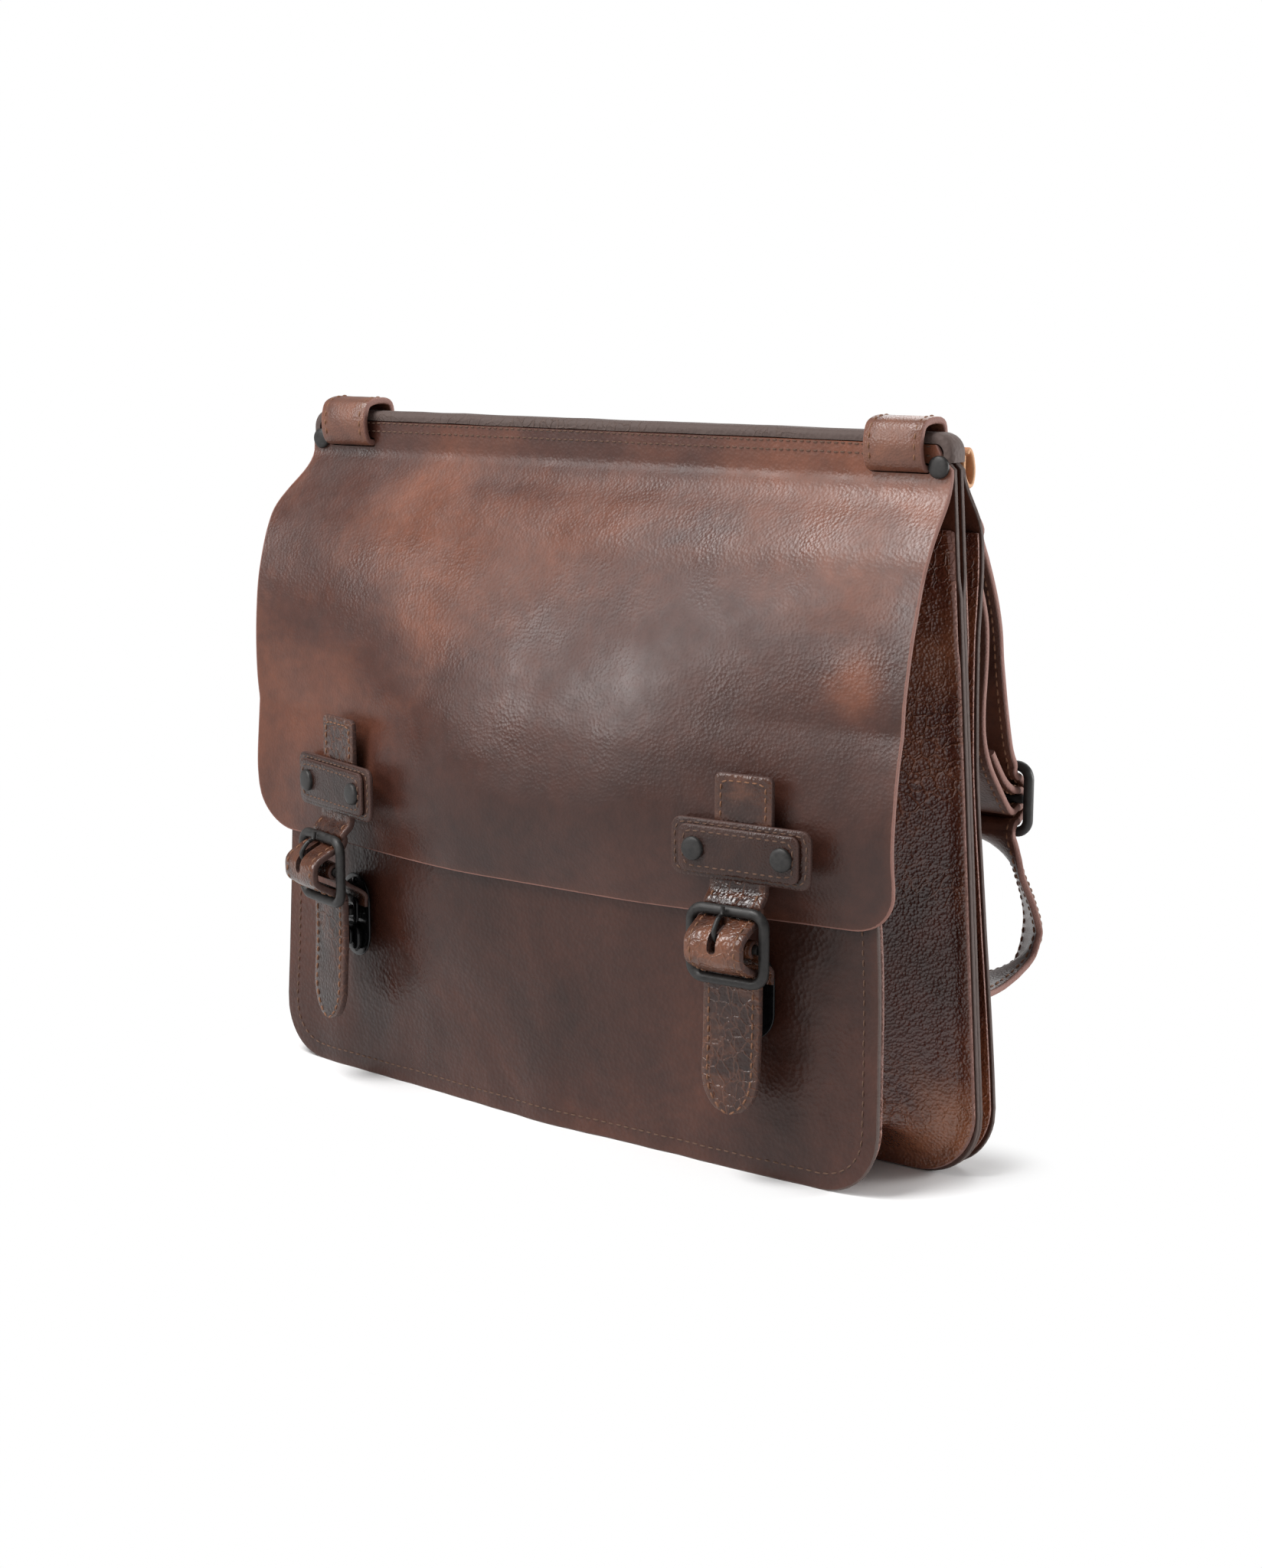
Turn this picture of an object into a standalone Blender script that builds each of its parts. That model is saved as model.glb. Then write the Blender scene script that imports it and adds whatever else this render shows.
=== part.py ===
"""Leather satchel bag: two compartments on a stiff spine, a full front flap closed by two
buckled straps with press locks, and two shoulder straps looped round the top bar.

All sizes and places below are in millimetres and the meshes are scaled by MM to metres.
+X runs along the bar, the front faces -Y and +Z is up. The origin is the middle of the
divider's bottom edge, on the ground that the bag stands on.
"""

import math

import bmesh
import bpy
from mathutils import Matrix, Vector

MM = 0.001

# Overall sizes
HEIGHT = 330.0                # ground to the top of the bar
BASE_HALF_WIDTH = 206.3       # divider and back panel, sides extended to the ground
TOP_HALF_WIDTH = 185.0        # divider and back panel, at the top of the bar
CORNER_RADIUS = 30.0          # bottom corners of the panels
FRONT_DEPTH = 68.0            # divider plane to the fullest point of the flap
REAR_DEPTH = 20.0             # divider plane to the back panel where it flares under the bar

# Leather thicknesses and clearances
GAP = 0.3                     # between pieces that touch
LEAF_THICKNESS = 2.1
PANEL_THICKNESS = 1.9
FLAP_THICKNESS = 2.0
GUSSET_THICKNESS = 1.5
REAR_GUSSET_THICKNESS = 1.1
STRAP_THICKNESS = 3.5
STRAP_WIDTH = 29.5

# Spine and top bar
BOARD_THICKNESS = 2.8
BOARD_HEIGHT = 58.0
WELT_HEIGHT = 4.8
WELT_LEG = 10.0
BAR_CORNER_RADIUS = 9.0
HINGE_HEIGHT = 300.0          # height of the flap's fold line
RIVET_DROP = 14.5             # bar top to the corner rivets
RIVET_INSET = 4.9             # bar end to the corner rivets
RIVET_SHAFT_RADIUS = 1.4
SLOT_DROP = 13.0              # bar top to the upper edge of the strap slots
SLOT_SPACING = 320.0          # between the centres of the two strap slots
SLOT_SIDE_CLEARANCE = 0.8

# Front panel, flap and gussets
PANEL_TOP = 289.0
PANEL_SIDE_INSET = 19.8       # how much narrower each side is than the divider
PANEL_SHIFT = -2.0            # the filled bag leans a little to its right
FLAP_BOTTOM = 118.0
FLAP_CORNER_RADIUS = 22.0
FLAP_FLARE = 10.0             # how far the flap's left edge flares past the bar
PANEL_CLEARANCE = 0.9         # flap to front panel
FRONT_GUSSET_TOP = 288.0
REAR_GUSSET_TOP = 286.0
GUSSET_WIDTH = 56.0           # web of the front gusset, laid flat
REAR_GUSSET_WIDTH = 19.0
FLANGE_WIDTH = 8.5            # gusset edge sewn to a panel

# Closures: one on each side of the flap
CLOSURE_HEIGHT = 150.0        # centre of the crosspiece
CLOSURES = {"left": (-124.0, -18.0), "right": (120.0, 3.0)}   # place along X, yaw in degrees
CROSS_WIDTH = 71.0
CROSS_HEIGHT = 26.0
CROSS_THICKNESS = 2.2
BRIDGE_WIDTH = 61.0
BRIDGE_HEIGHT = 21.0
BRIDGE_THICKNESS = 1.9
CROSS_RIVET_SPACING = 45.0
CROSS_RIVET_RADIUS = 5.3
CROSS_RIVET_HEIGHT = 3.0
TAB_THICKNESS = 2.6
TAB_RISE = 21.0               # closure tab above the crosspiece
BUCKLE_WIDTH = 42.0
BUCKLE_HEIGHT = 36.0
BUCKLE_WIRE = 4.8
BUCKLE_CORNER = 8.5
BUCKLE_DROP = 40.0            # crosspiece centre to the buckle's bar
BUCKLE_STAND = 11.5           # flap surface to the buckle's plane
BAR_RADIUS = 2.0
TAIL_TIP_DROP = 117.0         # crosspiece centre to the strap's tip
PRONG_RADIUS = 1.3
PRONG_SWING = 15.0
PRONG_PLAY = 0.8

# Press locks on the front panel
LOCK_DROP = 67.0              # crosspiece centre to the lock's centre
LOCK_WIDTH = 27.0
LOCK_HEIGHT = 42.0
FLANGE_THICKNESS = 1.3
HOUSING_WIDTH = 16.0
HOUSING_HEIGHT = 13.5
HOUSING_THICKNESS = 4.0
SLIDER_WIDTH = 12.0
SLIDER_HEIGHT = 9.0
SLIDER_THICKNESS = 3.0
SLIDER_TRAVEL = 3.0
CATCH_WIDTH = 7.0
CATCH_HEIGHT = 4.0
TONGUE_WIDTH = 17.0
TONGUE_HEIGHT = 13.0
TONGUE_THICKNESS = 1.6
TONGUE_PLAY = 1.3             # catch to the upper and lower edge of the tongue's window
TONGUE_SIDE_PLAY = 2.0        # catch to the window's sides
LOCK_TAB_WIDTH = 28.0
LOCK_TAB_THICKNESS = 2.0

# Shoulder straps
SPLIT_HEIGHT = 286.5          # where the swinging run starts below the bar
SHOULDER_BUCKLE_Y = 77.0
SHOULDER_BUCKLE_Z = 158.0
SHOULDER_BOW_Y = 103.0
SHOULDER_BOW_Z = 92.0
ANCHOR_Z = 66.0
ANCHOR_Y = 38.0               # the strap turns about this upright line
ANCHOR_TAB_WIDTH = 24.0

# Materials: colour, roughness, metallic
MATERIALS = {
    "flap_leather": ((0.105, 0.042, 0.026), 0.42, 0.0),
    "panel_leather": ((0.062, 0.030, 0.021), 0.45, 0.0),
    "gusset_leather": ((0.050, 0.018, 0.011), 0.28, 0.0),
    "strap_leather": ((0.095, 0.040, 0.026), 0.45, 0.0),
    "welt_leather": ((0.045, 0.036, 0.032), 0.55, 0.0),
    "tan_leather": ((0.45, 0.16, 0.055), 0.5, 0.0),
    "spine_board": ((0.10, 0.085, 0.07), 0.8, 0.0),
    "dark_metal": ((0.035, 0.034, 0.033), 0.5, 0.8),
    "lock_metal": ((0.02, 0.02, 0.022), 0.18, 0.9),
}


# ---------------------------------------------------------------- small maths

def clamp(value, low=0.0, high=1.0):
    return max(low, min(high, value))


def lerp(a, b, t):
    return a + (b - a) * t


def ease(t):
    t = clamp(t)
    return t * t * (3.0 - 2.0 * t)


def through(points, x):
    """Height at x of a smooth curve through (x, height) points given in rising x."""
    if x <= points[0][0]:
        return points[0][1]
    if x >= points[-1][0]:
        return points[-1][1]
    for (x0, y0), (x1, y1) in zip(points, points[1:]):
        if x <= x1:
            return lerp(y0, y1, ease((x - x0) / (x1 - x0)) * 0.5 + (x - x0) / (x1 - x0) * 0.5)
    return points[-1][1]


def smooth_path(points, steps):
    """Catmull-Rom curve through 2-D points, with the given steps between each two."""
    ends = [points[0], *points, points[-1]]
    found = []
    for p0, p1, p2, p3 in zip(ends, ends[1:], ends[2:], ends[3:]):
        for k in range(steps):
            t = k / steps
            found.append(tuple(
                0.5 * (2 * b + (c - a) * t + (2 * a - 5 * b + 4 * c - d) * t * t
                       + (3 * b - a - 3 * c + d) * t ** 3)
                for a, b, c, d in zip(p0, p1, p2, p3)
            ))
    found.append(tuple(points[-1]))
    return found


def arc(centre, radius, start, end, steps):
    """2-D points on an arc, with angles in degrees."""
    return [
        (centre[0] + radius * math.cos(math.radians(lerp(start, end, k / steps))),
         centre[1] + radius * math.sin(math.radians(lerp(start, end, k / steps))))
        for k in range(steps + 1)
    ]


def offset_path(points, distance, closed=False):
    """2-D path moved sideways by distance, to the left of its direction, with mitred corners."""
    moved = []
    count = len(points)
    for k, (x, y) in enumerate(points):
        before = points[k - 1] if closed or k > 0 else None
        after = points[(k + 1) % count] if closed or k < count - 1 else None
        normals = []
        for (ax, ay), (bx, by) in ((before or (x, y), (x, y)), ((x, y), after or (x, y))):
            length = math.hypot(bx - ax, by - ay)
            if length > 1e-9:
                normals.append((-(by - ay) / length, (bx - ax) / length))
        nx = sum(n[0] for n in normals) / len(normals)
        ny = sum(n[1] for n in normals) / len(normals)
        square = max(nx * nx + ny * ny, 0.3)
        moved.append((x + nx * distance / square, y + ny * distance / square))
    return moved


# ---------------------------------------------------------------- mesh makers

def skin(bm, front, back, wrap=False):
    """Closed solid between two grids of points, given as rows of equal length."""
    grids = [[[bm.verts.new(p) for p in row] for row in grid] for grid in (front, back)]
    a, b = grids
    rows, columns = len(a), len(a[0])
    spans = range(rows if wrap else rows - 1)
    for i in spans:
        n = (i + 1) % rows
        for j in range(columns - 1):
            bm.faces.new((a[i][j], a[i][j + 1], a[n][j + 1], a[n][j]))
            bm.faces.new((b[i][j], b[n][j], b[n][j + 1], b[i][j + 1]))
        bm.faces.new((a[i][0], a[n][0], b[n][0], b[i][0]))
        bm.faces.new((a[i][-1], b[i][-1], b[n][-1], a[n][-1]))
    if not wrap:
        for j in range(columns - 1):
            bm.faces.new((a[0][j], b[0][j], b[0][j + 1], a[0][j + 1]))
            bm.faces.new((a[-1][j], a[-1][j + 1], b[-1][j + 1], b[-1][j]))


def prism(bm, outline, low, high, place=Matrix.Identity(4)):
    """Solid of an (x, z) outline between two y values."""
    front = [bm.verts.new(place @ Vector((x, low, z))) for x, z in outline]
    back = [bm.verts.new(place @ Vector((x, high, z))) for x, z in outline]
    count = len(outline)
    bm.faces.new(front)
    bm.faces.new(list(reversed(back)))
    for k in range(count):
        n = (k + 1) % count
        bm.faces.new((front[k], back[k], back[n], front[n]))


def turned(bm, profile, place, sides=20):
    """Turned solid about the local Y axis from (radius, y) points; both ends are on the axis."""
    first = bm.verts.new(place @ Vector((0, profile[0][1], 0)))
    last = bm.verts.new(place @ Vector((0, profile[-1][1], 0)))
    rings = []
    for radius, y in profile[1:-1]:
        rings.append([
            bm.verts.new(place @ Vector((
                radius * math.cos(math.tau * k / sides), y, radius * math.sin(math.tau * k / sides)
            )))
            for k in range(sides)
        ])
    for k in range(sides):
        n = (k + 1) % sides
        bm.faces.new((first, rings[0][k], rings[0][n]))
        bm.faces.new((last, rings[-1][n], rings[-1][k]))
        for near, far in zip(rings, rings[1:]):
            bm.faces.new((near[k], far[k], far[n], near[n]))


def tube(bm, path, radius, sides=8, closed=False, place=Matrix.Identity(4), tip=1.0):
    """Round bar along 3-D points; the last ring is scaled by tip."""
    count = len(path)
    rings = []
    for k, point in enumerate(path):
        before = path[k - 1] if closed or k > 0 else path[k]
        after = path[(k + 1) % count] if closed or k < count - 1 else path[k]
        along = (Vector(after) - Vector(before)).normalized()
        side = along.cross(Vector((0, 1, 0)))
        if side.length < 0.5:
            side = along.cross(Vector((1, 0, 0)))
        side.normalize()
        other = side.cross(along)
        size = radius * (tip if k == count - 1 and not closed else 1.0)
        rings.append([
            bm.verts.new(place @ (
                Vector(point)
                + side * size * math.cos(math.tau * s / sides)
                + other * size * math.sin(math.tau * s / sides)
            ))
            for s in range(sides)
        ])
    for k in range(count if closed else count - 1):
        near, far = rings[k], rings[(k + 1) % count]
        for s in range(sides):
            n = (s + 1) % sides
            bm.faces.new((near[s], near[n], far[n], far[s]))
    if not closed:
        bm.faces.new(list(reversed(rings[0])))
        bm.faces.new(rings[-1])


def rounded_rectangle(width, height, radius, centre=(0.0, 0.0), steps=4):
    """Outline of a rectangle with round corners, anticlockwise."""
    cx, cz = centre
    half_w, half_h = width / 2 - radius, height / 2 - radius
    outline = []
    for sx, sz, start in ((1, 1, 0), (-1, 1, 90), (-1, -1, 180), (1, -1, 270)):
        outline += arc((cx + sx * half_w, cz + sz * half_h), radius, start, start + 90, steps)
    return outline


def strip(bm, path, width, thickness, place=Matrix.Identity(4), half_widths=None, shift=None):
    """Flat strap along a (y, z) path; shift moves each point along X."""
    outer = offset_path(path, thickness / 2)
    inner = offset_path(path, -thickness / 2)
    halves = half_widths or [width / 2] * len(path)
    shifts = shift or [0.0] * len(path)

    def grid(side):
        return [
            [place @ Vector((x + s, y, z)) for x in (-h, h)]
            for (y, z), h, s in zip(side, halves, shifts)
        ]

    skin(bm, grid(outer), grid(inner))


# ---------------------------------------------------------------- objects

def material_named(name):
    found = bpy.data.materials.get(name)
    if found:
        return found
    colour, roughness, metallic = MATERIALS[name]
    found = bpy.data.materials.new(name)
    found.use_nodes = True
    shader = found.node_tree.nodes["Principled BSDF"]
    shader.inputs["Base Color"].default_value = (*colour, 1.0)
    shader.inputs["Roughness"].default_value = roughness
    shader.inputs["Metallic"].default_value = metallic
    return found


def new_pivot(name, place):
    """Empty on a joint's axis; place is in millimetres."""
    empty = bpy.data.objects.new(name, None)
    empty.empty_display_size = 0.02
    empty.matrix_world = Matrix.Translation(place.translation * MM) @ place.to_3x3().to_4x4()
    bpy.context.scene.collection.objects.link(empty)
    return empty


def new_object(name, bm, material, pivot=None, cutters=()):
    """Object from a mesh drawn in millimetres in the bag's frame, parented to its pivot."""
    bmesh.ops.scale(bm, vec=(MM, MM, MM), verts=bm.verts)
    if pivot:
        bm.transform(pivot.matrix_world.inverted())
    bmesh.ops.recalc_face_normals(bm, faces=bm.faces)
    mesh = bpy.data.meshes.new(name)
    bm.to_mesh(mesh)
    bm.free()
    piece = bpy.data.objects.new(name, mesh)
    bpy.context.scene.collection.objects.link(piece)
    if pivot:
        piece.parent = pivot
    if material:
        mesh.materials.append(material_named(material))
        mesh.shade_smooth()
        mesh.set_sharp_from_angle(angle=math.radians(35))
    for cutter in cutters:
        cut = piece.modifiers.new(f"cut_by_{cutter.name}", "BOOLEAN")
        cut.operation = "DIFFERENCE"
        cut.solver = "EXACT"
        cut.object = cutter
    return piece


def new_cutter(name, bm, pivot=None):
    cutter = new_object(name, bm, None, pivot)
    cutter.hide_render = True
    cutter.display_type = "WIRE"
    return cutter


# ---------------------------------------------------------------- surfaces of the bag

def half_width(z):
    """Half width of the divider and the back panel, before the corners are rounded."""
    return lerp(BASE_HALF_WIDTH, TOP_HALF_WIDTH, z / HEIGHT)


def panel_half_width(z):
    return half_width(z) - PANEL_SIDE_INSET


def rounded_half(width_at, z, radius):
    """Half width at a height above a bottom edge with round corners."""
    if z >= radius:
        return width_at(z)
    return width_at(z) - radius + math.sqrt(max(radius * radius - (radius - z) ** 2, 0.0))


def leaf_face(z):
    """How far the divider's outer faces stand from its mid plane: wider over the board."""
    spread = ease((z - (HEIGHT - BOARD_HEIGHT - 14.0)) / 12.0)
    return LEAF_THICKNESS + GAP / 2 + (BOARD_THICKNESS / 2 + GAP / 2) * spread


def sandwich_face():
    """How far the flap's and the back panel's outer faces stand from the mid plane at the bar."""
    return leaf_face(HEIGHT) + GAP + FLAP_THICKNESS


def flap_profile(z):
    """Depth of the flap's outer face in the middle of the bag, by height."""
    root = sandwich_face()
    points = [
        (FLAP_BOTTOM, 0.897 * FRONT_DEPTH), (144.0, 0.985 * FRONT_DEPTH), (161.0, FRONT_DEPTH),
        (189.0, 0.94 * FRONT_DEPTH), (210.0, 0.855 * FRONT_DEPTH), (227.0, 0.77 * FRONT_DEPTH),
        (251.0, 0.625 * FRONT_DEPTH), (275.0, 0.45 * FRONT_DEPTH), (294.0, 0.26 * FRONT_DEPTH),
        (304.0, root + 1.6), (309.5, root), (HEIGHT, root),
    ]
    return through(points, z)


def flap_depth(u, z):
    """Depth of the flap's outer face at u, from -1 at its left edge to 1 at its right."""
    root = sandwich_face()
    if u < 0:
        fall = 0.45 * ease((-u - 0.15) / 0.85) * clamp((285.0 - z) / 100.0)
    else:
        fall = 0.25 * ease((u - 0.2) / 0.8) * clamp((285.0 - z) / 80.0)
    return root + (flap_profile(z) - root) * (1.0 - fall)


def flap_half(z, left):
    """Half width of the flap to one side, before its corners are rounded."""
    at_bar = half_width(HEIGHT) + 1.0
    if left:
        return at_bar + FLAP_FLARE * ease((308.0 - z) / 30.0) + 2.5 * clamp((275.0 - z) / 125.0)
    return at_bar + 2.0 * clamp((308.0 - z) / 30.0)


def flap_u(x, z):
    return x / flap_half(z, x < 0)


def panel_bottom_depth(x):
    """Depth of the front panel's outer face along its bottom edge."""
    centre = 0.772 * FRONT_DEPTH
    return centre + 0.098 * x if x < 0 else centre


def panel_depth(x, z):
    """Depth of the front panel's outer face."""
    under = flap_depth(flap_u(x, max(z, FLAP_BOTTOM)), max(z, FLAP_BOTTOM))
    slope = abs(flap_profile(z + 2.0) - flap_profile(z - 2.0)) / 4.0 if z > FLAP_BOTTOM + 2 else 0.0
    under -= (FLAP_THICKNESS + PANEL_CLEARANCE) * math.sqrt(1.0 + slope * slope) + 0.4 * slope
    return lerp(panel_bottom_depth(x), under, ease(z / FLAP_BOTTOM))


def back_depth(x, z):
    """Depth of the back panel's outer face behind the mid plane."""
    points = [
        (0.0, 0.65 * REAR_DEPTH), (30.0, 0.7 * REAR_DEPTH), (75.0, 0.65 * REAR_DEPTH),
        (114.0, 0.55 * REAR_DEPTH), (165.0, 0.45 * REAR_DEPTH), (189.0, 0.45 * REAR_DEPTH),
        (235.0, 0.65 * REAR_DEPTH), (286.0, REAR_DEPTH), (311.0, sandwich_face()),
        (HEIGHT, sandwich_face()),
    ]
    bulge = 5.0 * (1.0 - clamp(abs(x) / half_width(z)) ** 2) * ease(z / 60.0)
    return through(points, z) + bulge * ease((280.0 - z) / 40.0)


# ---------------------------------------------------------------- sheets

def corner_rows(bottom, top, radius, spacing):
    """Heights of a sheet's rows: closer together where the bottom corners turn."""
    rows = [bottom + radius * (1.0 - math.cos(math.radians(a))) for a in (0, 18, 36, 54, 72)]
    start = bottom + radius
    count = max(2, round((top - start) / spacing))
    return rows + [lerp(start, top, k / count) for k in range(count + 1)]


def sheet(bm, heights, edges_at, face_at, thickness, columns):
    """Closed sheet: edges_at(z) gives its left and right x, face_at(x, z) its front y."""
    front, back = [], []
    for z in heights:
        left, right = edges_at(z)
        xs = [lerp(left, right, k / columns) for k in range(columns + 1)]
        front.append([Vector((x, face_at(x, z), z)) for x in xs])
        back.append([Vector((x, face_at(x, z) + thickness(x, z), z)) for x in xs])
    skin(bm, front, back)


def slope_thickness(face_at, thickness):
    """Thickness along Y that keeps a sloping sheet's real thickness."""
    def measured(x, z):
        dz = (face_at(x, z + 1.0) - face_at(x, z - 1.0)) / 2.0
        return thickness * math.sqrt(1.0 + dz * dz)
    return measured


def trapezoid_edges(z):
    half = rounded_half(half_width, z, CORNER_RADIUS)
    return -half, half


def inner_edges(z):
    """Edges of the pieces that end inside the welt's legs."""
    left, right = trapezoid_edges(z)
    over = HEIGHT - WELT_LEG - 1.0
    inset = WELT_HEIGHT * ease((z - over + 4.0) / 4.0)
    top = HEIGHT - WELT_HEIGHT
    if z > top - BAR_CORNER_RADIUS * 0.5:
        inset += 2.5 * (z - top + BAR_CORNER_RADIUS * 0.5) / (BAR_CORNER_RADIUS * 0.5)
    return left + inset, right - inset


def bar_rows(bottom):
    """Rows that follow the inside of the welt."""
    top = HEIGHT - WELT_HEIGHT - GAP
    over = HEIGHT - WELT_LEG - 1.0
    return [z for z in (bottom, over - 4.0, over - 2.0, over, top - BAR_CORNER_RADIUS * 0.5, top)
            if z >= bottom]


def bar_cutter():
    """Slots for the shoulder straps and holes for the corner rivets."""
    bm = bmesh.new()
    slot_width = STRAP_WIDTH + 2 * SLOT_SIDE_CLEARANCE
    slot_height = STRAP_THICKNESS + 4 * GAP
    for side in (-1, 1):
        outline = rounded_rectangle(
            slot_width, slot_height, 1.5,
            (side * SLOT_SPACING / 2, HEIGHT - SLOT_DROP - slot_height / 2), 2,
        )
        prism(bm, outline, -30.0, 30.0)
        place = Matrix.Translation((side * rivet_x(), 0, HEIGHT - RIVET_DROP))
        radius = RIVET_SHAFT_RADIUS + GAP
        turned(bm, [(0, -30), (radius, -30), (radius, 30), (0, 30)], place, 12)
    return new_cutter("bar_cutter", bm)


def rivet_x():
    return half_width(HEIGHT) - RIVET_INSET


def build_divider(cutter):
    top = HEIGHT - WELT_HEIGHT - GAP
    heights = [z for z in corner_rows(0.0, HEIGHT - BOARD_HEIGHT - 16.0, CORNER_RADIUS, 45.0)]
    heights += [HEIGHT - BOARD_HEIGHT - 10.0, HEIGHT - BOARD_HEIGHT - 4.0, HEIGHT - BOARD_HEIGHT]
    heights += bar_rows(HEIGHT - BOARD_HEIGHT + 20.0)

    def thickness(x, z):
        return LEAF_THICKNESS

    bm = bmesh.new()
    sheet(bm, heights, inner_edges, lambda x, z: -leaf_face(z), thickness, 4)
    new_object("divider_front_leaf", bm, "panel_leather", cutters=[cutter])
    bm = bmesh.new()
    sheet(bm, heights, inner_edges, lambda x, z: leaf_face(z) - LEAF_THICKNESS, thickness, 4)
    new_object("divider_rear_leaf", bm, "panel_leather", cutters=[cutter])

    bm = bmesh.new()
    half = half_width(HEIGHT) - WELT_HEIGHT - 3.5
    low = HEIGHT - BOARD_HEIGHT + 3.0
    outline = rounded_rectangle(2 * half, top - low, 5.0, (0, (top + low) / 2), 2)
    prism(bm, outline, -BOARD_THICKNESS / 2, BOARD_THICKNESS / 2)
    new_object("spine_board", bm, "spine_board", cutters=[cutter])


def build_welt():
    """Dark edge strip round the top of the bar, with a short leg down each end."""
    half = half_width(HEIGHT) + 1.5
    low = HEIGHT - WELT_LEG
    depth = sandwich_face()
    radius = BAR_CORNER_RADIUS
    path = [(-half, low)]
    path += arc((-half + radius, HEIGHT - radius), radius, 180, 90, 4)
    path += arc((half - radius, HEIGHT - radius), radius, 90, 0, 4)
    path += [(half, low)]
    inner = offset_path(path, -WELT_HEIGHT)
    inner[0] = (inner[0][0], low)
    inner[-1] = (inner[-1][0], low)
    round_off = 1.6

    def loop(points, y):
        return [Vector((x, y, z)) for x, z in points]

    shoulder = offset_path(path, -round_off)
    shoulder[0] = (shoulder[0][0], low)
    shoulder[-1] = (shoulder[-1][0], low)
    bm = bmesh.new()
    rows = [
        loop(inner, -depth), loop(shoulder, -depth), loop(path, -depth + round_off * 1.5),
        loop(path, depth - round_off * 1.5), loop(shoulder, depth), loop(inner, depth),
    ]
    verts = [[bm.verts.new(p) for p in row] for row in rows]
    for i in range(len(verts)):
        n = (i + 1) % len(verts)
        for k in range(len(path) - 1):
            bm.faces.new((verts[i][k], verts[i][k + 1], verts[n][k + 1], verts[n][k]))
    bm.faces.new([row[0] for row in verts])
    bm.faces.new([row[-1] for row in reversed(verts)])
    new_object("top_welt", bm, "welt_leather")


def panel_inner(x, z):
    """Y of the front panel's inner face."""
    slope = (panel_depth(x, z + 1.0) - panel_depth(x, z - 1.0)) / 2.0
    return PANEL_THICKNESS * math.sqrt(1.0 + slope * slope) - panel_depth(x, z)


def back_inner(x, z):
    """Y of the back panel's inner face."""
    slope = (back_depth(x, z + 1.0) - back_depth(x, z - 1.0)) / 2.0
    return back_depth(x, z) - PANEL_THICKNESS * math.sqrt(1.0 + slope * slope)


def build_front_panel():
    bm = bmesh.new()

    def edges(z):
        half = rounded_half(panel_half_width, z, CORNER_RADIUS)
        return PANEL_SHIFT - half, PANEL_SHIFT + half

    def face(x, z):
        return -panel_depth(x, z)

    heights = corner_rows(0.0, PANEL_TOP, CORNER_RADIUS, 18.0)
    sheet(bm, heights, edges, face, slope_thickness(face, PANEL_THICKNESS), 12)
    new_object("front_panel", bm, "panel_leather")


def build_back_panel(cutter):
    bm = bmesh.new()

    def thickness(x, z):
        return back_depth(x, z) - back_inner(x, z)

    heights = corner_rows(0.0, HEIGHT - 22.0, CORNER_RADIUS, 20.0) + bar_rows(HEIGHT - 18.0)
    sheet(bm, heights, inner_edges, back_inner, thickness, 8)
    new_object("back_panel", bm, "panel_leather", cutters=[cutter])


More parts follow.
